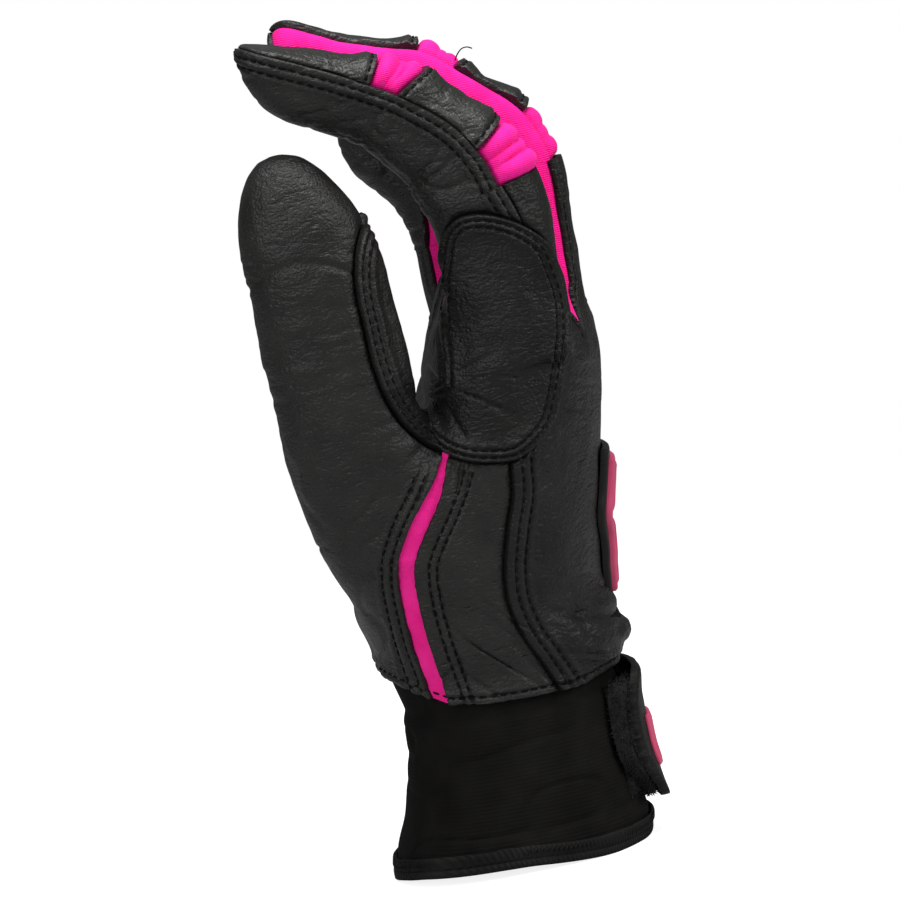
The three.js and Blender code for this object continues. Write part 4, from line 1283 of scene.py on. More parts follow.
@dataclass
class HandShell:
    """The sewn leather of the palm, the thumb and the back, up to the finger bands."""

    form: HandForm
    fingers: list[FingerForm]
    leather: float = 1.0
    stretch: float = 0.9
    accent_width: float = 3.7
    gusset_far: float = -28.8
    thumb_low: float = 118.0
    thumb_right: float = -1.5
    thumb_near: float = -20.0
    thumb_turn: tuple[float, float] = (134.0, 156.0)
    mesh_step: float = 1.0
    coarse_step: float = 1.7
    faces: list[tuple[Array, Array]] = field(default_factory=list)

    def __post_init__(self) -> None:
        """Lays out the seams."""
        self.gusset = SeamPath(np.vstack([GUSSET_EDGE, CROTCH_EDGE]), closed=True)
        self.accent = SeamPath(ACCENT_LINE)
        self.back = SeamPath(BACK_SEAM)
        self.ulnar = SeamPath(ULNAR_SEAM)

    def edge_field(self, p: Array) -> Array:
        """Height above the leather's lower edge."""
        return p[:, 2] - np.interp(p[:, 0], LEATHER_EDGE[:, 0], LEATHER_EDGE[:, 1])

    def gusset_field(self, p: Array) -> Array:
        """Distance inside the gusset's outline on the thumb side."""
        inside, _ = self.gusset.within(p)
        root = INDEX.root_share * self.form.palm_depth
        back_side = ramp(root - 7, root + 7, p[:, 0])
        far = self.gusset_far + (INDEX.slot * 21.6 - self.gusset_far) * back_side
        return np.minimum(inside, far - p[:, 1])

    def _between(self, pair: int) -> tuple[float, float]:
        """Side and depth of the middle between one finger's root and the next."""
        here, there = (finger.plan for finger in self.fingers[pair : pair + 2])
        root = (here.root_share + there.root_share) / 2 * self.form.palm_depth
        return (here.slot + there.slot) / 2 * self.fingers[pair].pitch, root

    def web_field(self, p: Array, pair: int) -> Array:
        """Distance inside the stretch web between one finger and the next."""
        middle, root = self._between(pair)
        on_back = ramp(-2, 2, p[:, 0] - root)
        low = 128 - 7 * on_back if pair == 0 else 127.5 - 0.5 * on_back
        aside = np.abs(p[:, 1] - middle + (1.6 * on_back if pair == 0 else 0))
        return np.minimum(2.8 + 2.1 * on_back - aside, (p[:, 2] - low) * 0.45 - aside)

    def stub_field(self, p: Array) -> Array:
        """Distance below the line where a finger's bands begin."""
        below = np.full(len(p), 9.0)
        for finger in self.fingers:
            beside = np.abs(p[:, 1] - finger.plan.slot * finger.pitch) < 10.8
            near = beside & (p[:, 2] > 124) & (p[:, 0] > -2)
            below[near] = finger.hinge - finger.flex_zone / 2 - finger.locate(p[near])[0]
        return below

    def wrinkles(self, p: Array) -> Array:
        """Folds and dents of the hand's leather."""
        x, y, z = p.T
        near = ramp(4, 12, -y)
        inside, along = self.gusset.within(p)
        relief = leather_lumps(p)
        outside = ramp(0.3, 1.6, -inside) * (1 - ramp(3, 11, -inside))
        pucker = fold_lines(np.stack([along, inside, 0 * x], 1), (2.7, 16, 9), 61, 0.24)
        relief -= 0.5 * pucker * outside * near * (1 - ramp(112, 126, z))
        dx, dz = x - CROTCH_EDGE[0, 0], z - CROTCH_EDGE[0, 1]
        reach = np.hypot(dx, dz)
        fan = np.stack([12 * np.arctan2(dz, dx), 0.4 * reach, 0 * x], 1)
        spread = ramp(3, 6, inside) * (1 - ramp(16, 30, reach)) * ramp(2, 7, reach)
        relief -= 0.55 * fold_lines(fan, (4.2, 14, 9), 62, 0.2) * spread * near
        thumb = ramp(102, 122, z) * (1 - ramp(150, 160, z)) * (1 - ramp(-6, 0, x)) * near
        thumb = thumb * (1 - 0.9 * ramp(-1.0, 0.5, inside))
        wide, fine = fold_lines(p, (12, 12, 3.6), 63, 0.34), fold_lines(p, (7, 7, 1.9), 64, 0.4)
        relief -= thumb * (0.26 * wide + 0.15 * fine)
        arc = z + 0.16 * (x + 24) - 150.5 + 0.03 * (x + 22) ** 2
        relief -= 0.5 * bump(arc, 0, 1.0) * (1 - ramp(-14, -8, x)) * near
        palm = (1 - ramp(98, 116, z)) * (1 - ramp(-10, 0, x))
        tilted = np.stack([x + 0.5 * z, y, z - 0.7 * x], 1)
        relief -= 0.42 * palm * fold_lines(tilted, (22, 22, 8.5), 65, 0.12)
        inner = (1 - ramp(6, 14, x)) * ramp(-22, -12, y) * (1 - ramp(36, 42, y))
        wander = 1.5 * lumps(p, 14, 66)
        lines = (112, 0.12, 0.006, 0.9), (98, -0.22, 0.004, 0.8), (84, -0.45, 0.008, 0.6)
        for height, slope, bow, deep in lines:
            relief -= deep * inner * bump(z + wander - height - slope * y - bow * y**2, 0, 1.5)
        side = bump(x, 2, 11) * bump(z, 50, 12) * near
        relief -= 0.7 * side * fold_lines(np.stack([x + z, y, z - x], 1), (5, 16, 22), 67, 0.16)
        heel = ramp(12, 24, x) * bump(z, 54, 11)
        relief += 0.7 * ramp(16, 26, x) * bump(z, 46.8, 3.6)
        relief -= 1.5 * ramp(14, 25, x) * bump(z + 0.35 * (x - 30), 54.5, 1.5)
        relief -= 0.7 * heel * fold_lines(np.stack([x - 0.4 * z, y, z + 0.4 * x], 1), (16, 14, 4), 69, 0.18)
        return relief

    def build(self) -> None:
        """Cuts the skin into its panels, makes them and sews their rows."""
        skin = self.form.skin(self.fingers, self.mesh_step)
        LOG.info("hand skin: %d points", len(skin.points))
        skin = skin.cut(self.edge_field(skin.points))[0]
        skin = skin.cut(self.stub_field(skin.points))[0]
        skin = skin.refine((skin.points[:, 1] < -4) & (skin.normals[:, 1] < 0.3))
        skin = skin.refine(self._near_seams(skin.points, 2.2))
        self._panels(skin)
        self._sew()
        self._tab()

    def _near_seams(self, p: Array, reach: float) -> Array:
        """Whether a point lies near a seam that shows its detail."""
        near = np.abs(self.gusset.within(p)[0] - 1) < reach
        near |= np.abs(np.abs(self.accent.measure(p)[0]) - 3) < reach
        near |= np.abs(self.back.measure(p)[0] + 2) < reach
        near |= np.abs(self.edge_field(p) - 1) < reach * 0.7
        far = (p[:, 1] > 10) & (np.abs(self.ulnar.measure(p)[0] + 1) < reach * 0.8)
        gore = (np.abs(self.gore_field(p) + 0.8) < reach * 0.7) & (p[:, 0] > 8)
        return (near & (p[:, 1] < -4)) | far | gore

    def gore_field(self, p: Array) -> Array:
        """Distance inside the nearest stretch web."""
        return np.max([self.web_field(p, pair) for pair in range(3)], axis=0)

    @property
    def thumb_blend(self) -> tuple[Array, Array]:
        """Where the thumb's pieces were to start and end turning with its tip; the pieces are fixed in place
        and do not turn.
        """
        low, high = self.thumb_turn
        return np.array([-22.0, -37.0, low]), np.array([-22.0, -37.0, high])

    def _tab(self) -> None:
        """Folded end of the thumb's side seam, which stands up beside the thumb."""
        along = np.linspace(0, 1, 20)
        path = np.stack([-10.4 + 2.7 * along, -38.5 + 0 * along, 147.0 + 11.6 * along], 1)
        points, faces = tube(path, 1.0, 18)
        size = np.sqrt(np.maximum(1 - np.abs(2 * along - 1) ** 3.5, 0.004)) * (1.5 - 0.5 * along)
        across = points.reshape(20, 18, 3) - path[:, None]
        rings = path[:, None] + across * size[:, None, None] * [1.6, 1.7, 1.0]
        points = rings.reshape(-1, 3)
        points += 0.35 * lumps(points, 1.7, 29)[:, None]
        made = Surface.make("thumb_seam_tab", points, faces, "palm_leather")
        seat(made, "palm_leather", "thumb_tip", (), self.thumb_blend)

    def on_thumb(self, p: Array) -> Array:
        """Distance inside the part that moves with the thumb's tip."""
        inward = np.minimum(p[:, 2] - self.thumb_low, self.thumb_right - p[:, 0])
        return np.minimum(inward, self.thumb_near - p[:, 1])

    def _panels(self, skin: Skin) -> None:
        """Cuts the skin at every seam and dresses the parts."""
        thumb, rest = skin.cut(self.on_thumb(skin.points))
        strip, cap = thumb.cut(self.gusset_field(thumb.points))
        gusset, rest = rest.cut(self.gusset_field(rest.points))
        self._leather("thumb_cap", cap, "palm_leather", ("thumb_crease",))
        self._leather("thumb_strip", strip, "palm_leather", at_gusset=Edge.OVER)
        self._leather("crotch_gusset", gusset, "gusset_leather", at_gusset=Edge.OVER)
        for pair in range(3):
            web, rest = rest.cut(self.web_field(rest.points, pair))
            name = "_".join([finger.plan.name for finger in self.fingers[pair : pair + 2]] + ["web"])
            relief = -0.4 + 0.25 * lumps(web.points, 6, 21)
            made = Surface.shell(name, web, relief, self.stretch, "fourchette_spandex")
            seat(made, "fourchette_spandex", "root", (name,))
        half = self.accent_half(rest.points) + 0.16 * lumps(rest.points, 1.1, 33)
        near = np.minimum(half - np.abs(self.accent.measure(rest.points)[0]), -2 - rest.points[:, 1])
        accent, rest = rest.cut(near)
        relief = -0.45 + 0.12 * lumps(accent.points, 2, 31)
        self.faces.append((accent.points + accent.normals * relief[:, None], accent.faces))
        made = Surface.shell("accent_strip", accent, relief, 0.8, "accent_suede")
        seat(made, "accent_suede", "root", ("accent_strip",))
        p = rest.points
        back, rest = rest.cut(np.where(p[:, 1] < 0, -self.back.measure(p)[0], -self.ulnar.measure(p)[0]))
        p = rest.points
        side = np.minimum(-self.accent.measure(p)[0], -2 - p[:, 1])
        side, palm = rest.cut(np.where(p[:, 2] > 102, -1, side))
        self._leather("back_panel", back, "back_leather")
        self._leather("side_panel", side, "palm_leather")
        self._leather("palm_leather", palm, "palm_leather")

    def accent_half(self, p: Array) -> Array:
        """Half the width of the accent strip, which narrows towards the gusset."""
        return self.accent_width / 2 * (1 - 0.6 * ramp(86, 100, p[:, 2]))

    def _leather(self, name: str, skin: Skin, finish: str, replaces: tuple[str, ...] = (),
                 at_gusset: Edge = Edge.UNDER) -> None:
        """Makes one leather panel with its seams' relief.

        Args:
            name: the panel's name.
            skin: its part of the hand's skin.
            finish: the name of its finish.
            replaces: other nodes of the frame that it stands for.
            at_gusset: how it ends at the gusset's seam.
        """
        p = skin.points
        gusset, _ = self.gusset.within(p)
        relief = self.wrinkles(p)
        near = ramp(-2, 3, -4 - p[:, 1]) * ramp(-0.15, 0.3, -skin.normals[:, 1])
        if at_gusset is Edge.OVER:
            relief += near * Edge.OVER.relief(gusset, (1.3, 2.8))
        else:
            low = 1 - ramp(95, 101, p[:, 2])
            relief += near * (Edge.UNDER.relief(-gusset) - 0.5 * bump(gusset, 0, 0.7))
            line, _ = self.accent.measure(p)
            aside = np.abs(line) - self.accent_half(p)
            rows = np.where(line > 0, Edge.CUT.relief(aside, (1.6, 3.8)), Edge.CUT.relief(aside, (3.3, 5.2)))
            line, _ = self.back.measure(p)
            far, _ = self.ulnar.measure(p)
            if name == "back_panel":
                seam, stub = Edge.OVER.relief(-line, (2.3, 4.6)), Edge.TURNED.relief(-line)
                side = Edge.OVER.relief(-far, (1.7,))
            else:
                seam, stub = Edge.UNDER.relief(line), Edge.OVER.relief(line, (1.8, 4.0))
                side = Edge.UNDER.relief(far)
            relief += near * (low * (rows + seam) + ramp(147, 151, p[:, 2]) * stub)
            relief += Edge.CUT.relief(self.edge_field(p), (1.7,))
            relief += Edge.TURNED.relief(-self.gore_field(p), (1.5,))
            relief += 0.8 * ramp(8, 16, p[:, 1]) * ramp(0, 0.4, skin.normals[:, 1]) * side
        self.faces.append((p + skin.normals * relief[:, None], skin.faces))
        made = Surface.shell(name, skin, relief, self.leather, finish)
        if name.startswith("thumb"):
            seat(made, finish, "thumb_tip", (name, *replaces), self.thumb_blend)
        else:
            seat(made, finish, "root", (name,))

    def _sew(self) -> None:
        """Lays the stitch rows of the hand and the thumb onto the finished leather."""
        counts = np.cumsum([0] + [len(points) for points, _ in self.faces])
        points = np.vstack([points for points, _ in self.faces])
        faces = np.vstack([faces + start for (_, faces), start in zip(self.faces, counts)])
        tree = BVHTree.FromPolygons(points.tolist(), faces.tolist())
        rows = (StitchRows("hand_stitches"), StitchRows("thumb_stitches"))
        gusset, hem = SeamPath(GUSSET_EDGE), SeamPath(LEATHER_EDGE[1:-1])
        half = self.accent_width / 2
        everywhere = lambda place: True
        below = lambda place: place[2] < 97.5 and self.gusset.within(place[None])[0][0] < -1.2
        on_stub = lambda place: place[2] > 150.5
        paths = [(gusset, 1.3, everywhere), (gusset, 2.8, everywhere), (hem, 1.7, everywhere)]
        paths += [(self.accent, reach, below) for reach in (half + 1.6, half + 3.8, -half - 3.3, -half - 5.2)]
        paths += [(self.back, -reach, below) for reach in (2.3, 4.6)]
        paths += [(self.back, reach, on_stub) for reach in (1.8, 4.0)]
        for path, aside, keep in paths:
            self._row(tree, np.insert(path.beside(aside), 1, -90, axis=1), (0, 1, 0), keep, rows)
        far = np.insert(self.ulnar.beside(-1.7), 1, 90, axis=1)
        self._row(tree, far, (0, -1, 0), lambda place: place[2] < 132, rows)
        for pair in range(3):
            self._row(tree, self._gore_row(pair), (-1, 0, 0), lambda place: place[0] > 14, rows)
        for made, body, blend in zip(rows, ("root", "thumb_tip"), (None, self.thumb_blend)):
            seat(made.build(), "black_thread", body, (), blend)

    def _gore_row(self, pair: int) -> Array:
        """Line of stitches round the point of one web, seen from behind the hand."""
        middle = self._between(pair)[0] - (1.6 if pair == 0 else 0)
        low = 121.0 if pair == 0 else 127.0
        height = np.linspace(150, low, 40)
        half = np.minimum(4.9, (height - low) * 0.45) + 1.6
        turn = np.linspace(0, math.pi, 9)[1:-1]
        across = np.concatenate([half, 1.6 * np.cos(turn), -half[::-1]])
        up = np.concatenate([height, low - 1.6 * np.sin(turn), height[::-1]])
        return np.insert(even_path(np.stack([middle + across, up], 1), 0.5), 0, 90, axis=1)

    def _row(self, tree: BVHTree, starts: Array, way: Triple,
             keep: Callable[[Array], bool], rows: tuple[StitchRows, StitchRows]) -> None:
        """Drops a line of points onto the leather along `way` and adds its runs to the hand or thumb."""
        run: list[tuple[Array, Array]] = []
        on_thumb = False
        for start in [*starts, None]:
            place = normal = None
            if start is not None:
                place, normal, _, _ = tree.ray_cast(Vector(start), Vector(way))
            hit = place is not None and normal.dot(Vector(way)) < -0.05 and keep(np.array(place))
            there = bool(hit and self.on_thumb(np.array([place]))[0] > 0)
            if not hit or there is not on_thumb:
                if len(run) > 5:
                    places, normals = (np.array(part) for part in zip(*run))
                    rows[on_thumb].add(places[1:-1], normals[1:-1] + normals[:-2] + normals[2:])
                run = []
                on_thumb = there
            if hit:
                run.append((np.array(place), np.array(normal)))


@dataclass
class GloveFinger:
    """One finger above its stub: back panels, stretch bands and walls, and the front."""

    form: FingerForm
    leather: float = 1.0
    stretch: float = 0.9
    spacing: float = 0.36
    seam_angle: float = 79.0
    wall_top: float = 33.0

    def __post_init__(self) -> None:
        """Works out where the finger's pieces begin and end."""
        f = self.form
        self.low, self.high = f.hinge - f.flex_zone / 2, f.hinge + f.flex_zone / 2
        seam, wall = (self.seam_angle, self.seam_angle), (self.wall_top, self.wall_low)
        self.near_back, self.near_front = seam if f.plan.seam_side == -1 else wall
        self.far_back, self.far_front = seam if f.plan.seam_side == 1 else wall
        self.rows = StitchRows(f"{f.plan.name}_stitches")

    def wall_low(self, s: Array) -> Array:
        """Angle at which a stretch wall ends on the front; outer fingers wrap more leather round."""
        if self.form.plan.name == "ring":
            return 108 - 26 * ramp(38, 55, s)
        places, angles = {
            "index": ((0, 1), (130, 130)),
            "middle": ((0, 1), (124, 124)),
            "little": ((18, 24, 30, 36, 42, 48), (140, 134, 119, 108, 97, 88)),
        }[self.form.plan.name]
        return np.interp(s, places, angles)

    def knuckle_high(self, angle: Array) -> Array:
        """Upper end of the knuckle band, higher along the top of the finger."""
        return self.high + 1.0 - 1.2 * (np.abs(angle) / self.seam_angle) ** 2

    def tip_band_low(self, angle: Array) -> Array:
        """Lower end of the band near the tip, lower along the top of the finger."""
        return self.form.band - 5.3 + 3.6 * (np.abs(angle) / self.seam_angle) ** 1.6

    def grid(self, s0: Limit, s1: Limit, a0: Limit, a1: Limit) -> PanelGrid:
        """Plain panel between two distances, which may change with the angle, and two angles
        in degrees, which may change along the finger."""
        f = self.form
        low, high = (float(read_limit(limit, np.zeros(1))[0]) for limit in (s0, s1))
        tip = high >= f.length - 0.01
        turn = f.length - f.plan.tip_reach
        straight = min(high, turn) if tip else high
        s = np.linspace(low, straight, max(int((straight - low) / self.spacing), 4) + 1)
        if tip:
            around = np.linspace(0, 89.8, int(f.plan.tip_reach * 1.4 / self.spacing) + 2)[1:]
            s = np.r_[s, turn + f.plan.tip_reach * np.sin(np.radians(around)) ** (2 / 2.3)]
        centre = np.full(200, (low + high) / 2)
        share = np.linspace(0, 1, 200)
        spread = lambda s, t: read_limit(a0, s) * (1 - t) + read_limit(a1, s) * t
        arc = arc_lengths(f.point(centre, np.radians(spread(centre, share))))
        even = np.interp(np.linspace(0, arc[-1], max(int(arc[-1] / self.spacing), 6) + 1), arc, share)
        ss, tt = np.meshgrid(s, even, indexing="ij")
        aa = spread(ss, tt)
        start, end = read_limit(s0, aa), read_limit(s1, aa)
        ss = start + (ss - low) * (end - start) / (high - low)
        points = f.point(ss, np.radians(aa))
        gap = np.linalg.norm(np.diff(points, axis=1), axis=2)
        first = np.c_[np.zeros(len(s)), gap.cumsum(1)]
        far = np.full_like(ss, 99.0) if tip else end - ss
        return PanelGrid(points, Surface.grid_normals(points), ss - start, far, first, first[:, -1:] - first)

    @property
    def bend(self) -> tuple[Array, Array]:
        """Where pieces that cross the knuckle were to start and end turning with the finger; they are fixed
        in place and do not turn.
        """
        place = self.form.frame(np.array([self.low, self.high]))[0]
        return place[0], place[1]

    def panel(self, name: str, finish: str, span: tuple[Limit, Limit], angles: tuple[Limit, Limit],
              edges: dict[str, tuple[Edge, tuple[float, ...]]], base: float = 0.0,
              shape: Callable[[PanelGrid], Array] | None = None, replaces: tuple[str, ...] = ()) -> None:
        """Makes one panel of the finger.

        Args:
            name: the panel's name without the finger's.
            finish: the name of its finish.
            span: distances along the finger between which it lies.
            angles: angles between which it lies, in degrees.
            edges: how it ends at each edge, and its stitch rows there.
            base: how far it stands out of the plain finger.
            shape: more relief of its own.
            replaces: other nodes of the finger that it stands for.
        """
        f = self.form
        grid = self.grid(*span, *angles)
        soft = "spandex" in finish
        fade = ramp(0.5, 6.5, grid.high) if span[1] == f.length else 1.0
        relief = base + 0.22 * lumps_on(grid.points, 8, 41) + 0.1 * lumps_on(grid.points, 3, 43)
        if not soft:
            flat = grid.points.reshape(-1, 3)
            relief -= 0.3 * fold_lines(flat, (9, 9, 4.5), 45, 0.16).reshape(relief.shape)
        steps = [fade * edge.relief(getattr(grid, side), rows) for side, (edge, rows) in edges.items()]
        relief = relief + np.maximum(np.max(steps, axis=0), 0) + np.minimum(np.min(steps, axis=0), 0)
        if shape is not None:
            relief = relief + shape(grid)
        thickness = self.stretch if soft else self.leather
        outer = grid.points + grid.normals * relief[..., None]
        inner = grid.points - grid.normals * (thickness - np.minimum(relief, 0))[..., None]
        made = Surface.sheet(f"{f.plan.name}_{name}", outer, inner, finish)
        nodes = [f"{f.plan.name}_{node}" for node in (name, *replaces)]
        crosses = not callable(span[0]) and span[0] < self.high - 0.1
        seat(made, finish, f"{f.plan.name}_finger", nodes, self.bend if crosses else None)
        done = replace(grid, points=outer, normals=Surface.grid_normals(outer))
        for side, (_, rows) in edges.items():
            for row in rows:
                self.rows.add(*done.guide(side, row))

    def build(self) -> None:
        """Makes the finger's panels and its stitching."""
        f = self.form
        end, side, index = f.length, f.plan.seam_side, f.plan.name == "index"
        back = (-self.near_back, self.far_back)
        over, turned, under = (Edge.OVER, (1.25,)), (Edge.TURNED, ()), (Edge.UNDER, ())
        sides = {"first": turned, "last": turned}
        band_sides = {"first": under, "last": under}
        tucked = {"low": under, "high": under, **band_sides}
        band_high = f.band + 4.8
        puff = 2.0 if index else 1.1
        rolls = (0.21, 0.2, puff), (0.82, 0.18, puff), (0.52, 0.11, 0.55 * puff)
        knuckle = partial(self._rolls, 46, rolls, 1.0)
        self.panel("knuckle_band", "flex_spandex", (self.low, self.knuckle_high), back, tucked, -0.2, knuckle)
        self.panel("middle_back", "finger_leather", (self.knuckle_high, self.tip_band_low), back,
                   {"low": over, "high": over, **sides})
        rolls = (0.19, 0.18, 1.5), (0.76, 0.24, 2.3), (0.44, 0.09, 0.8)
        tip = partial(self._rolls, 48, rolls, 1.0 if index else 0.6)
        self.panel("tip_band", "flex_spandex", (self.tip_band_low, band_high), back, tucked, -0.2, tip)
        self.panel("tip_back", "finger_leather", (band_high, end), back, {"low": over, **sides})
        seam = (Edge.OVER, (1.8, 4.0))
        front = (self.far_front, lambda s: 360 - read_limit(self.near_front, s))
        self.panel("front", "palm_leather", (self.low, end), front,
                   {"first": seam if side == 1 else turned, "last": seam if side == -1 else turned},
                   0.0, self._creases, ("crease",))
        if side != 1:
            self.panel("wall_little_side", "fourchette_spandex", (self.low, end),
                       (self.wall_top, self.wall_low), band_sides, -0.2)
        if side != -1:
            self.panel("wall_thumb_side", "fourchette_spandex", (self.low, end),
                       (lambda s: 360 - self.wall_low(s), 360 - self.wall_top), band_sides, -0.2)
        seat(self.rows.build(), "black_thread", f"{f.plan.name}_finger", (), self.bend)
        if f.plan.name == "middle":
            self._loose_thread()

    def _loose_thread(self) -> None:
        """End of thread that the machine left standing at the lower edge of a panel."""
        s = np.array([self.form.band - 3.5])
        place, _, across, out = self.form.frame(s)
        start = (place + out * (self.form.size(s)[0] + 0.4)[:, None] - across * 5.5)[0]
        steps = ((-0.4, 0, -0.8), (0.6, -0.3, 0.7), (1.7, -0.6, 1.6), (3.0, -1.0, 1.7), (4.0, -1.2, 1.2))
        thread = tube(even_path(start + np.array(steps), 0.3), 0.16)
        seat(Surface.make("middle_loose_thread", *thread, "black_thread"), "black_thread", "middle_finger")

    @staticmethod
    def _rolls(seed: int, rolls: Table, puff: float, grid: PanelGrid) -> Array:
        """Rolls of gathered cloth across a band, flatter towards the seams at their ends.

        Args:
            seed: which unevenness.
            rolls: middle, half width and height of each.
            puff: how far they all stand out.
            grid: the band.

        Returns:
            The band's relief.
        """
        share = grid.low / np.maximum(grid.low + grid.high, 0.1) + 0.03 * lumps_on(grid.points, 6, seed)
        inward = 0.15 + 0.85 * ramp(0, 5.5, np.minimum(grid.first, grid.last))
        round_ = [high * np.sqrt(np.maximum(1 - ((share - middle) / half) ** 2, 0))
                  for middle, half, high in rolls]
        return inward * puff * (np.max(round_, axis=0) - 0.5)

    def _creases(self, grid: PanelGrid) -> Array:
        """Bend creases across the front, where the finger curls."""
        s = grid.low + self.low + 1.2 * lumps_on(grid.points, 6, 47)
        high, band = self.high, self.form.band
        creases = ((high - 5, 0.5), (high + 1.5, 0.8), (high + 6, 0.5),
                   (band, 0.7), (band + 4.5, 0.5), (band - 5, 0.4))
        total = sum(-depth * bump(s, place, 1.0) for place, depth in creases)
        inward = ramp(0, 5, np.minimum(grid.first, grid.last))
        return total * inward * (0.6 if self.form.plan.name == "index" else 0.22)


@dataclass
class Cuff:
    """Knitted cuff tucked up into the leather, with its bound hem."""

    form: HandForm
    thickness: float = 2.0
    top: float = 53.0
    hem_height: float = 4.9
    tape: float = 0.8
    near_lift: float = 1.9
    clearance: float = 1.35
    columns: int = 420
    row_gap: float = 0.5
    zigzag_pitch: float = 1.3
    zigzag_height: float = 1.3

    def lift(self, points: Array) -> Array:
        """How far the hem's palm corner on the thumb side is raised off the floor."""
        return self.near_lift * ramp(0, 28, -points[..., 1]) * (1 - ramp(-5, 24, points[..., 0]))

    def build(self) -> None:
        """Makes the cuff, its hem and the hem's stitching."""
        heights = np.arange(2.4, self.top, self.row_gap)
        angle = np.linspace(0, math.tau, self.columns, endpoint=False)
        hh, aa = np.meshgrid(heights, angle, indexing="ij")
        tuck = self.clearance * ramp(35, 39.5, hh)
        outer = self.form.palm_ring(hh, aa, tuck)
        creases = fold_lines(outer.reshape(-1, 3), (20, 20, 9), 55, 0.1).reshape(hh.shape)
        folds = 0.5 * lumps_on(outer, 16, 51) + 0.12 * lumps_on(outer, 4, 53) - 0.4 * creases
        folds *= (1 - ramp(33, 38, hh)) * ramp(3, 9, hh)
        normals = Surface.grid_normals(np.concatenate([outer, outer[:, :1]], 1))[:, :-1]
        inner = self.form.palm_ring(hh, aa, tuck + self.thickness)
        made = Surface.sheet("cuff_band", outer + normals * folds[..., None], inner, "neoprene", closed=True)
        seat(made, "neoprene", "root", ("cuff_band",))
        self._hem(angle)
        self._zigzag()

    def _hem(self, angle: Array) -> None:
        """Tape folded round the cuff's lower edge."""
        out, inside, high, tape = -0.3 - self.tape, self.thickness + 0.3, self.hem_height, self.tape
        profile = np.array((
            (out + 0.45, 0), (out + 0.1, 0.35), (out, 0.9), (out, 1.6), (out + 0.32, 1.95), (out + 0.05, 2.3),
            (out, 3.1), (out, high - 0.9), (out + 0.05, high - 0.35), (out + 0.3, high), (-0.3, high - 0.1),
            (-0.3, tape), (inside, tape), (inside, high), (inside + tape, high), (inside + tape, 0.4),
            (inside + 0.4, 0),
        ))
        insets, heights = profile.T[:, :, None] + 0 * angle
        grid = self.form.palm_ring(heights, 0 * heights + angle, insets)
        ragged = 0.22 * lumps_on(grid * [1, 1, 0.2], 3.2, 57)
        grid[..., 2] += self.lift(grid) + ragged * ramp(high - 1.2, high, heights)
        outward = (insets < -0.5) * 0.35 * lumps_on(grid, 6, 58)
        reach = np.maximum(np.hypot(grid[..., 0], grid[..., 1]), 5)
        grid[..., :2] *= 1 + outward[..., None] / reach[..., None]
        a = np.arange(heights.size).reshape(heights.shape)
        b = np.roll(a, -1, 1)
        faces = np.stack([a, b, np.roll(b, -1, 0), np.roll(a, -1, 0)], -1).reshape(-1, 4)
        made = Surface.make("cuff_hem", grid.reshape(-1, 3), faces, "hem_tape")
        made.data.set_sharp_from_angle(angle=math.radians(60))
        seat(made, "hem_tape", "root", ("cuff_hem",))

    def _zigzag(self) -> None:
        """Zigzag overlock thread round the hem."""
        angle = np.linspace(0, math.tau, 8 * int(240 / self.zigzag_pitch))
        swing = np.abs((np.arange(len(angle)) / 4) % 2 - 1)
        height = self.hem_height - 0.5 - self.zigzag_height * swing
        path = self.form.palm_ring(height, angle, -0.3 - self.tape)
        path[:, 2] += self.lift(path)
        seat(Surface.make("hem_zigzag", *tube(path, 0.2), "hem_tape"), "hem_tape")


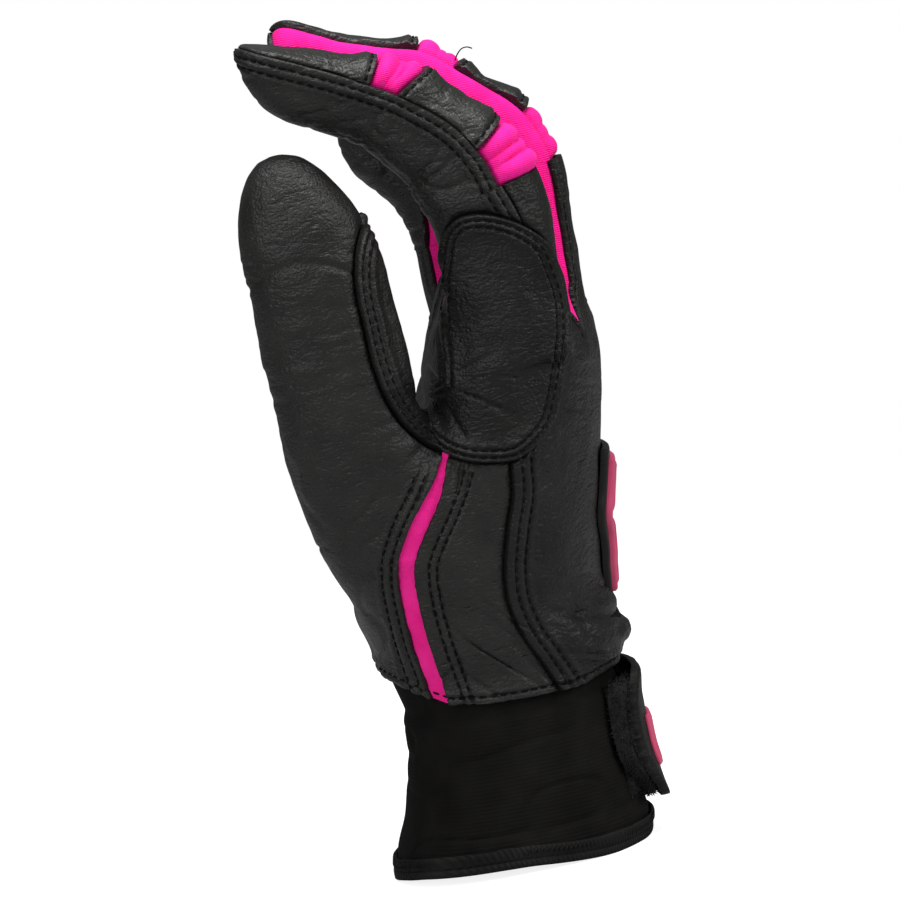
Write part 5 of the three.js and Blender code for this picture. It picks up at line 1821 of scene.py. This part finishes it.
@dataclass
class BackFace:
    """Pieces that lie on the back of the hand or cuff, placed by side and height."""

    form: HandForm
    strap_middle: float = 24.0
    strap_height: float = 32.0
    strap_near: float = -17.0
    strap_far: float = 24.0
    strap_corner: float = 6.0
    strap_badge_border: float = 6.0
    badge_middle: float = 73.0
    badge_height: float = 37.0
    badge_width: float = 27.0
    badge_side: float = 2.0
    edge_share: float = 0.995

    def point(self, side: Array, height: Array, offset: Array) -> Array:
        """Point on the back at a side position, pushed out by `offset`."""
        front, back, half = self.form.palm_section(height)
        half = half + offset
        depth = (back - front) / 2 + offset
        share = np.clip(side / half, -self.edge_share, self.edge_share)
        arch = self.form.palm_arch * share**2 * np.clip(height / self.form.web_height, 0, 1)
        rise = (1 - np.abs(share) ** self.form.squareness) ** (1 / self.form.squareness)
        return np.stack([(front + back) / 2 + depth * rise - arch, side, height], -1)

    def flare(self, side: Array, height: Array) -> Array:
        """How far the strap's free end stands off the cuff, most at its lower corner."""
        free = 1 - ramp(self.strap_near - 4, 2, side)
        down = self.strap_middle - height
        return free * (0.5 + 2.6 * ramp(2, 16, down) + 1.8 * ramp(4, 15, -down))

    def strap_edge(self, height: Array) -> Array:
        """Free end of the strap, with rounded corners and a ragged cut."""
        radius = self.strap_corner * np.where(height < self.strap_middle, 1.6, 1.0)
        over = np.clip(np.abs(height - self.strap_middle) - self.strap_height / 2 + radius, 0, 99)
        corner = radius * (1 - np.sqrt(np.maximum(1 - (over / radius) ** 2, 0)))
        return self.strap_near + corner + 0.35 * lumps_on(height[..., None] * [3, 0, 0], 2.4, 81)

    def pile_edge(self, height: Array) -> Array:
        """Free edge of the hook patch, bowed out past the strap's end."""
        bow = 1 - ((height - self.strap_middle) / 14) ** 2
        cut = 5.0 * ramp(3, 14, self.strap_middle - height)
        return self.strap_near - 2.2 - 2.3 * np.maximum(bow, -0.2) + cut

    def sheet(self, name: str, finish: str, sides: tuple[Limit, Limit], heights: tuple[float, float],
              offsets: tuple[Limit, Limit], body: str, spacing: float = 0.6, rounding: float = 0.9) -> None:
        """Sheet on the back with a rounded rim.

        Args:
            name: the piece's name.
            finish: the name of its finish.
            sides: its two edges across the hand, which may change with the height.
            heights: its lowest and highest edge.
            offsets: its inner and outer face off the cuff, which may change with side and height.
            body: the body that it moves with.
            spacing: size of its grid.
            rounding: how far in the rim is rounded.
        """
        up = np.linspace(*heights, int((heights[1] - heights[0]) / spacing) + 2)
        middle = np.array([(heights[0] + heights[1]) / 2])
        low, high = (float(read_limit(side, middle)[0]) for side in sides)
        hh, tt = np.meshgrid(up, np.linspace(0, 1, int((high - low) / spacing) + 2), indexing="ij")
        first, last = (read_limit(side, hh) for side in sides)
        ss = first * (1 - tt) + last * tt
        edge = np.min([ss - first, last - ss, hh - heights[0], heights[1] - hh], axis=0)
        inner, outer = (read_limit(offset, ss, hh) for offset in offsets)
        round_over = 0.5 * (outer - inner) * shrunk(edge / rounding)
        uneven = 0.12 * lumps_on(np.stack([ss, hh, 0 * ss], -1), 5, 83)
        faces = self.point(ss, hh, outer - round_over + uneven), self.point(ss, hh, inner)
        made = Surface.sheet(name, *faces, finish)
        seat(made, finish, body, (name,))
        if finish == "hook_and_loop":
            seat(PileTufts(f"{name}_tufts").build(made, finish), finish, body)

    def build(self) -> None:
        """Makes the strap's layers and the badges."""
        middle = self.strap_middle
        span = lambda height: (middle - height / 2, middle + height / 2)
        off = lambda base: lambda side, height: base(side) + self.flare(side, height)
        self.sheet("cuff_loop_patch", "hook_and_loop", (-18.4, 18), span(26), (0.2, 1.2), "root")
        fluff = off(lambda side: 2.2 + 1.3 * (1 - ramp(-21, -17, side)))
        self.sheet("strap_hook_patch", "hook_and_loop", (self.pile_edge, -1.5), span(28), (1.4, fluff),
                   "strap_flap", rounding=1.6)
        sewn = lambda side: ramp(self.strap_far - 8, self.strap_far - 1, side)
        skin = (off(lambda side: 2.5 - 2.2 * sewn(side)), off(lambda side: 4.5 - 2.6 * sewn(side)))
        sides = self.strap_edge, self.strap_far
        self.sheet("strap", "strap_skin", sides, span(32), skin, "strap_flap", rounding=1.1)
        start = self.strap_near + self.strap_badge_border
        badge = (off(lambda side: 4.6), off(lambda side: 5.25 + 0.35 * bump((side - start) % 4.2, 2.1, 0.75)))
        self.sheet("strap_badge", "pink_rubber", (start, start + 17), (middle - 8.2, middle + 3.8), badge,
                   "strap_flap", 0.4, 1.3)
        self._shield("back_badge_base", "black_rubber", 0, (0.2, 1.9))
        self._shield("back_badge_pad", "pink_rubber", 2.6, (1.8, 3.3))

    def _shield(self, name: str, finish: str, shrink: float, offsets: tuple[float, float]) -> None:
        """Generic shield-like plate with plain cross grooves, drawn in by `shrink`."""
        reach = self.badge_height / 2 - shrink
        up = np.linspace(-reach, reach, int(reach * 2 / 0.4))
        share = up / reach
        half = self.badge_width / 2 * (0.8 + 0.2 * ramp(-0.2, 0.1, share)) - shrink
        half *= 1 - 0.42 * np.maximum(-share, 0) ** 1.6
        half *= 1 + 0.07 * bump(share, 0.25, 0.16)
        across = np.linspace(-1, 1, 60)
        hh = self.badge_middle + up[:, None] + 0 * across
        ss = self.badge_side + half[:, None] * across
        edge = np.minimum((1 - np.abs(across)) * half[:, None], (reach - np.abs(up))[:, None])
        raised = -0.6 * shrunk(edge / 1.1)
        if shrink > 0:
            raised += 0.45 * ramp(1.4, 2.4, edge) * (1 - 2.2 * bump(share, 0.13, 0.09))[:, None]
            raised -= 0.5 * ramp(2.5, 3.2, edge) * (1 - ramp(3.6, 4.3, edge))
        sink = 2.6 * (1 - ramp(53.5, 63, hh))
        faces = self.point(ss, hh, offsets[1] + raised - sink), self.point(ss, hh, offsets[0] - sink)
        seat(Surface.sheet(name, *faces, finish), finish, "root", (name,))


@dataclass
class Studio:
    """Camera, floor and soft lights."""

    roll: float = 11.0
    elevation: float = 6.0
    distance: float = 1.5
    field_width: float = 0.2115
    target: Triple = (1.75, 0.0, 97.0)
    floor_reach: float = 0.62

    def build(self) -> None:
        """Sets up the view and the light."""
        self._camera()
        self._floor()
        self._world()
        for name, place, size, power in (
            ("top_softbox", (0.1, -0.15, 0.95), 0.6, 9.8),
            ("front_softbox", (-0.6, -0.95, 0.6), 0.7, 6.6),
            ("right_softbox", (0.85, -0.45, 0.5), 0.5, 5.4),
        ):
            self._lamp(name, place, size, power)

    def _camera(self) -> None:
        """Long lens at the photograph's angle."""
        data = bpy.data.cameras.new("view")
        data.sensor_width = 36
        data.lens = 36 * self.distance / self.field_width
        data.clip_end = 20
        made = in_scene("view", data)
        e, r = math.radians(self.elevation), math.radians(self.roll)
        forward = Vector((0, math.cos(e), -math.sin(e)))
        right = Vector((math.cos(r), -math.sin(e) * math.sin(r), -math.cos(e) * math.sin(r)))
        target = Vector(Surface.to_frame(np.array(self.target)))
        turn = Matrix((right, right.cross(forward), -forward)).transposed().to_4x4()
        made.matrix_world = Matrix.Translation(target - forward * self.distance) @ turn
        bpy.context.scene.camera = made

    def _floor(self) -> None:
        """Plain pale floor under the hem."""
        mesh = bpy.data.meshes.new("floor")
        r = self.floor_reach
        corners = (-r, -r, 0), (r, -r, 0), (r, r, 0), (-r, r, 0)
        mesh.from_pydata(corners, [], [(0, 1, 2, 3)])
        material = bpy.data.materials.new("pale_floor")
        bench = self._bare(material)
        matte = bench.add("ShaderNodeBsdfDiffuse", {"Color": (0.42, 0.42, 0.42, 1)})
        seen = bench.add("ShaderNodeLightPath").outputs["Is Camera Ray"]
        level = bench.add("ShaderNodeMath", {0: seen, 1: 0.85}, operation="MULTIPLY")
        glow = bench.add("ShaderNodeEmission", {"Strength": level})
        both = bench.add("ShaderNodeAddShader", {0: matte, 1: glow})
        bench.add("ShaderNodeOutputMaterial", {"Surface": both})
        mesh.materials.append(material)
        in_scene("floor", mesh)

    @staticmethod
    def _bare(owner: Material | bpy.types.World) -> NodeBench:
        """Bench of a material or world with its nodes cleared away."""
        owner.use_nodes = True
        owner.node_tree.nodes.clear()
        return NodeBench(owner.node_tree)

    def _world(self) -> None:
        """White surroundings for the camera, softer for the light."""
        world = bpy.data.worlds.new("studio")
        bpy.context.scene.world = world
        bench = self._bare(world)
        path = bench.add("ShaderNodeLightPath").outputs
        rays = {0: path["Is Camera Ray"], 1: path["Is Transmission Ray"]}
        seen = bench.add("ShaderNodeMath", rays, operation="MAXIMUM")
        level = bench.scaled(seen, 0.16, 1.0)
        back = bench.add("ShaderNodeBackground", {"Color": (1, 1, 1, 1), "Strength": level})
        bench.add("ShaderNodeOutputWorld", {"Surface": back})

    @staticmethod
    def _lamp(name: str, place: Triple, size: float, power: float) -> None:
        """Square soft lamp aimed at the middle of the glove."""
        data = bpy.data.lights.new(name, "AREA")
        data.size = size
        data.energy = power
        lamp = in_scene(name, data)
        lamp.location = place
        aim = Vector((0, 0, 0.1)) - Vector(place)
        lamp.rotation_euler = aim.to_track_quat("-Z", "Y").to_euler()


def main() -> None:
    """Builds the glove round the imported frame."""
    logging.basicConfig(level=logging.INFO, format="%(message)s")
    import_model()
    scene = bpy.context.scene
    scene.view_settings.view_transform = "Standard"
    low, high = (np.array(corner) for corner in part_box("cuff_hem"))
    form = HandForm()
    rim = form.palm_section(np.array([0.0]))
    Surface.shift = Vector((low[0] + (1.1 - rim[0][0]) * MM, (low[1] + high[1]) / 2, 0))
    Studio().build()
    forms = [FingerForm(plan) for plan in (INDEX, MIDDLE, RING, LITTLE)]
    HandShell(form, forms).build()
    for finger in forms:
        GloveFinger(finger).build()
    Cuff(form).build()
    BackFace(form).build()


if __name__ == "__main__":
    main()
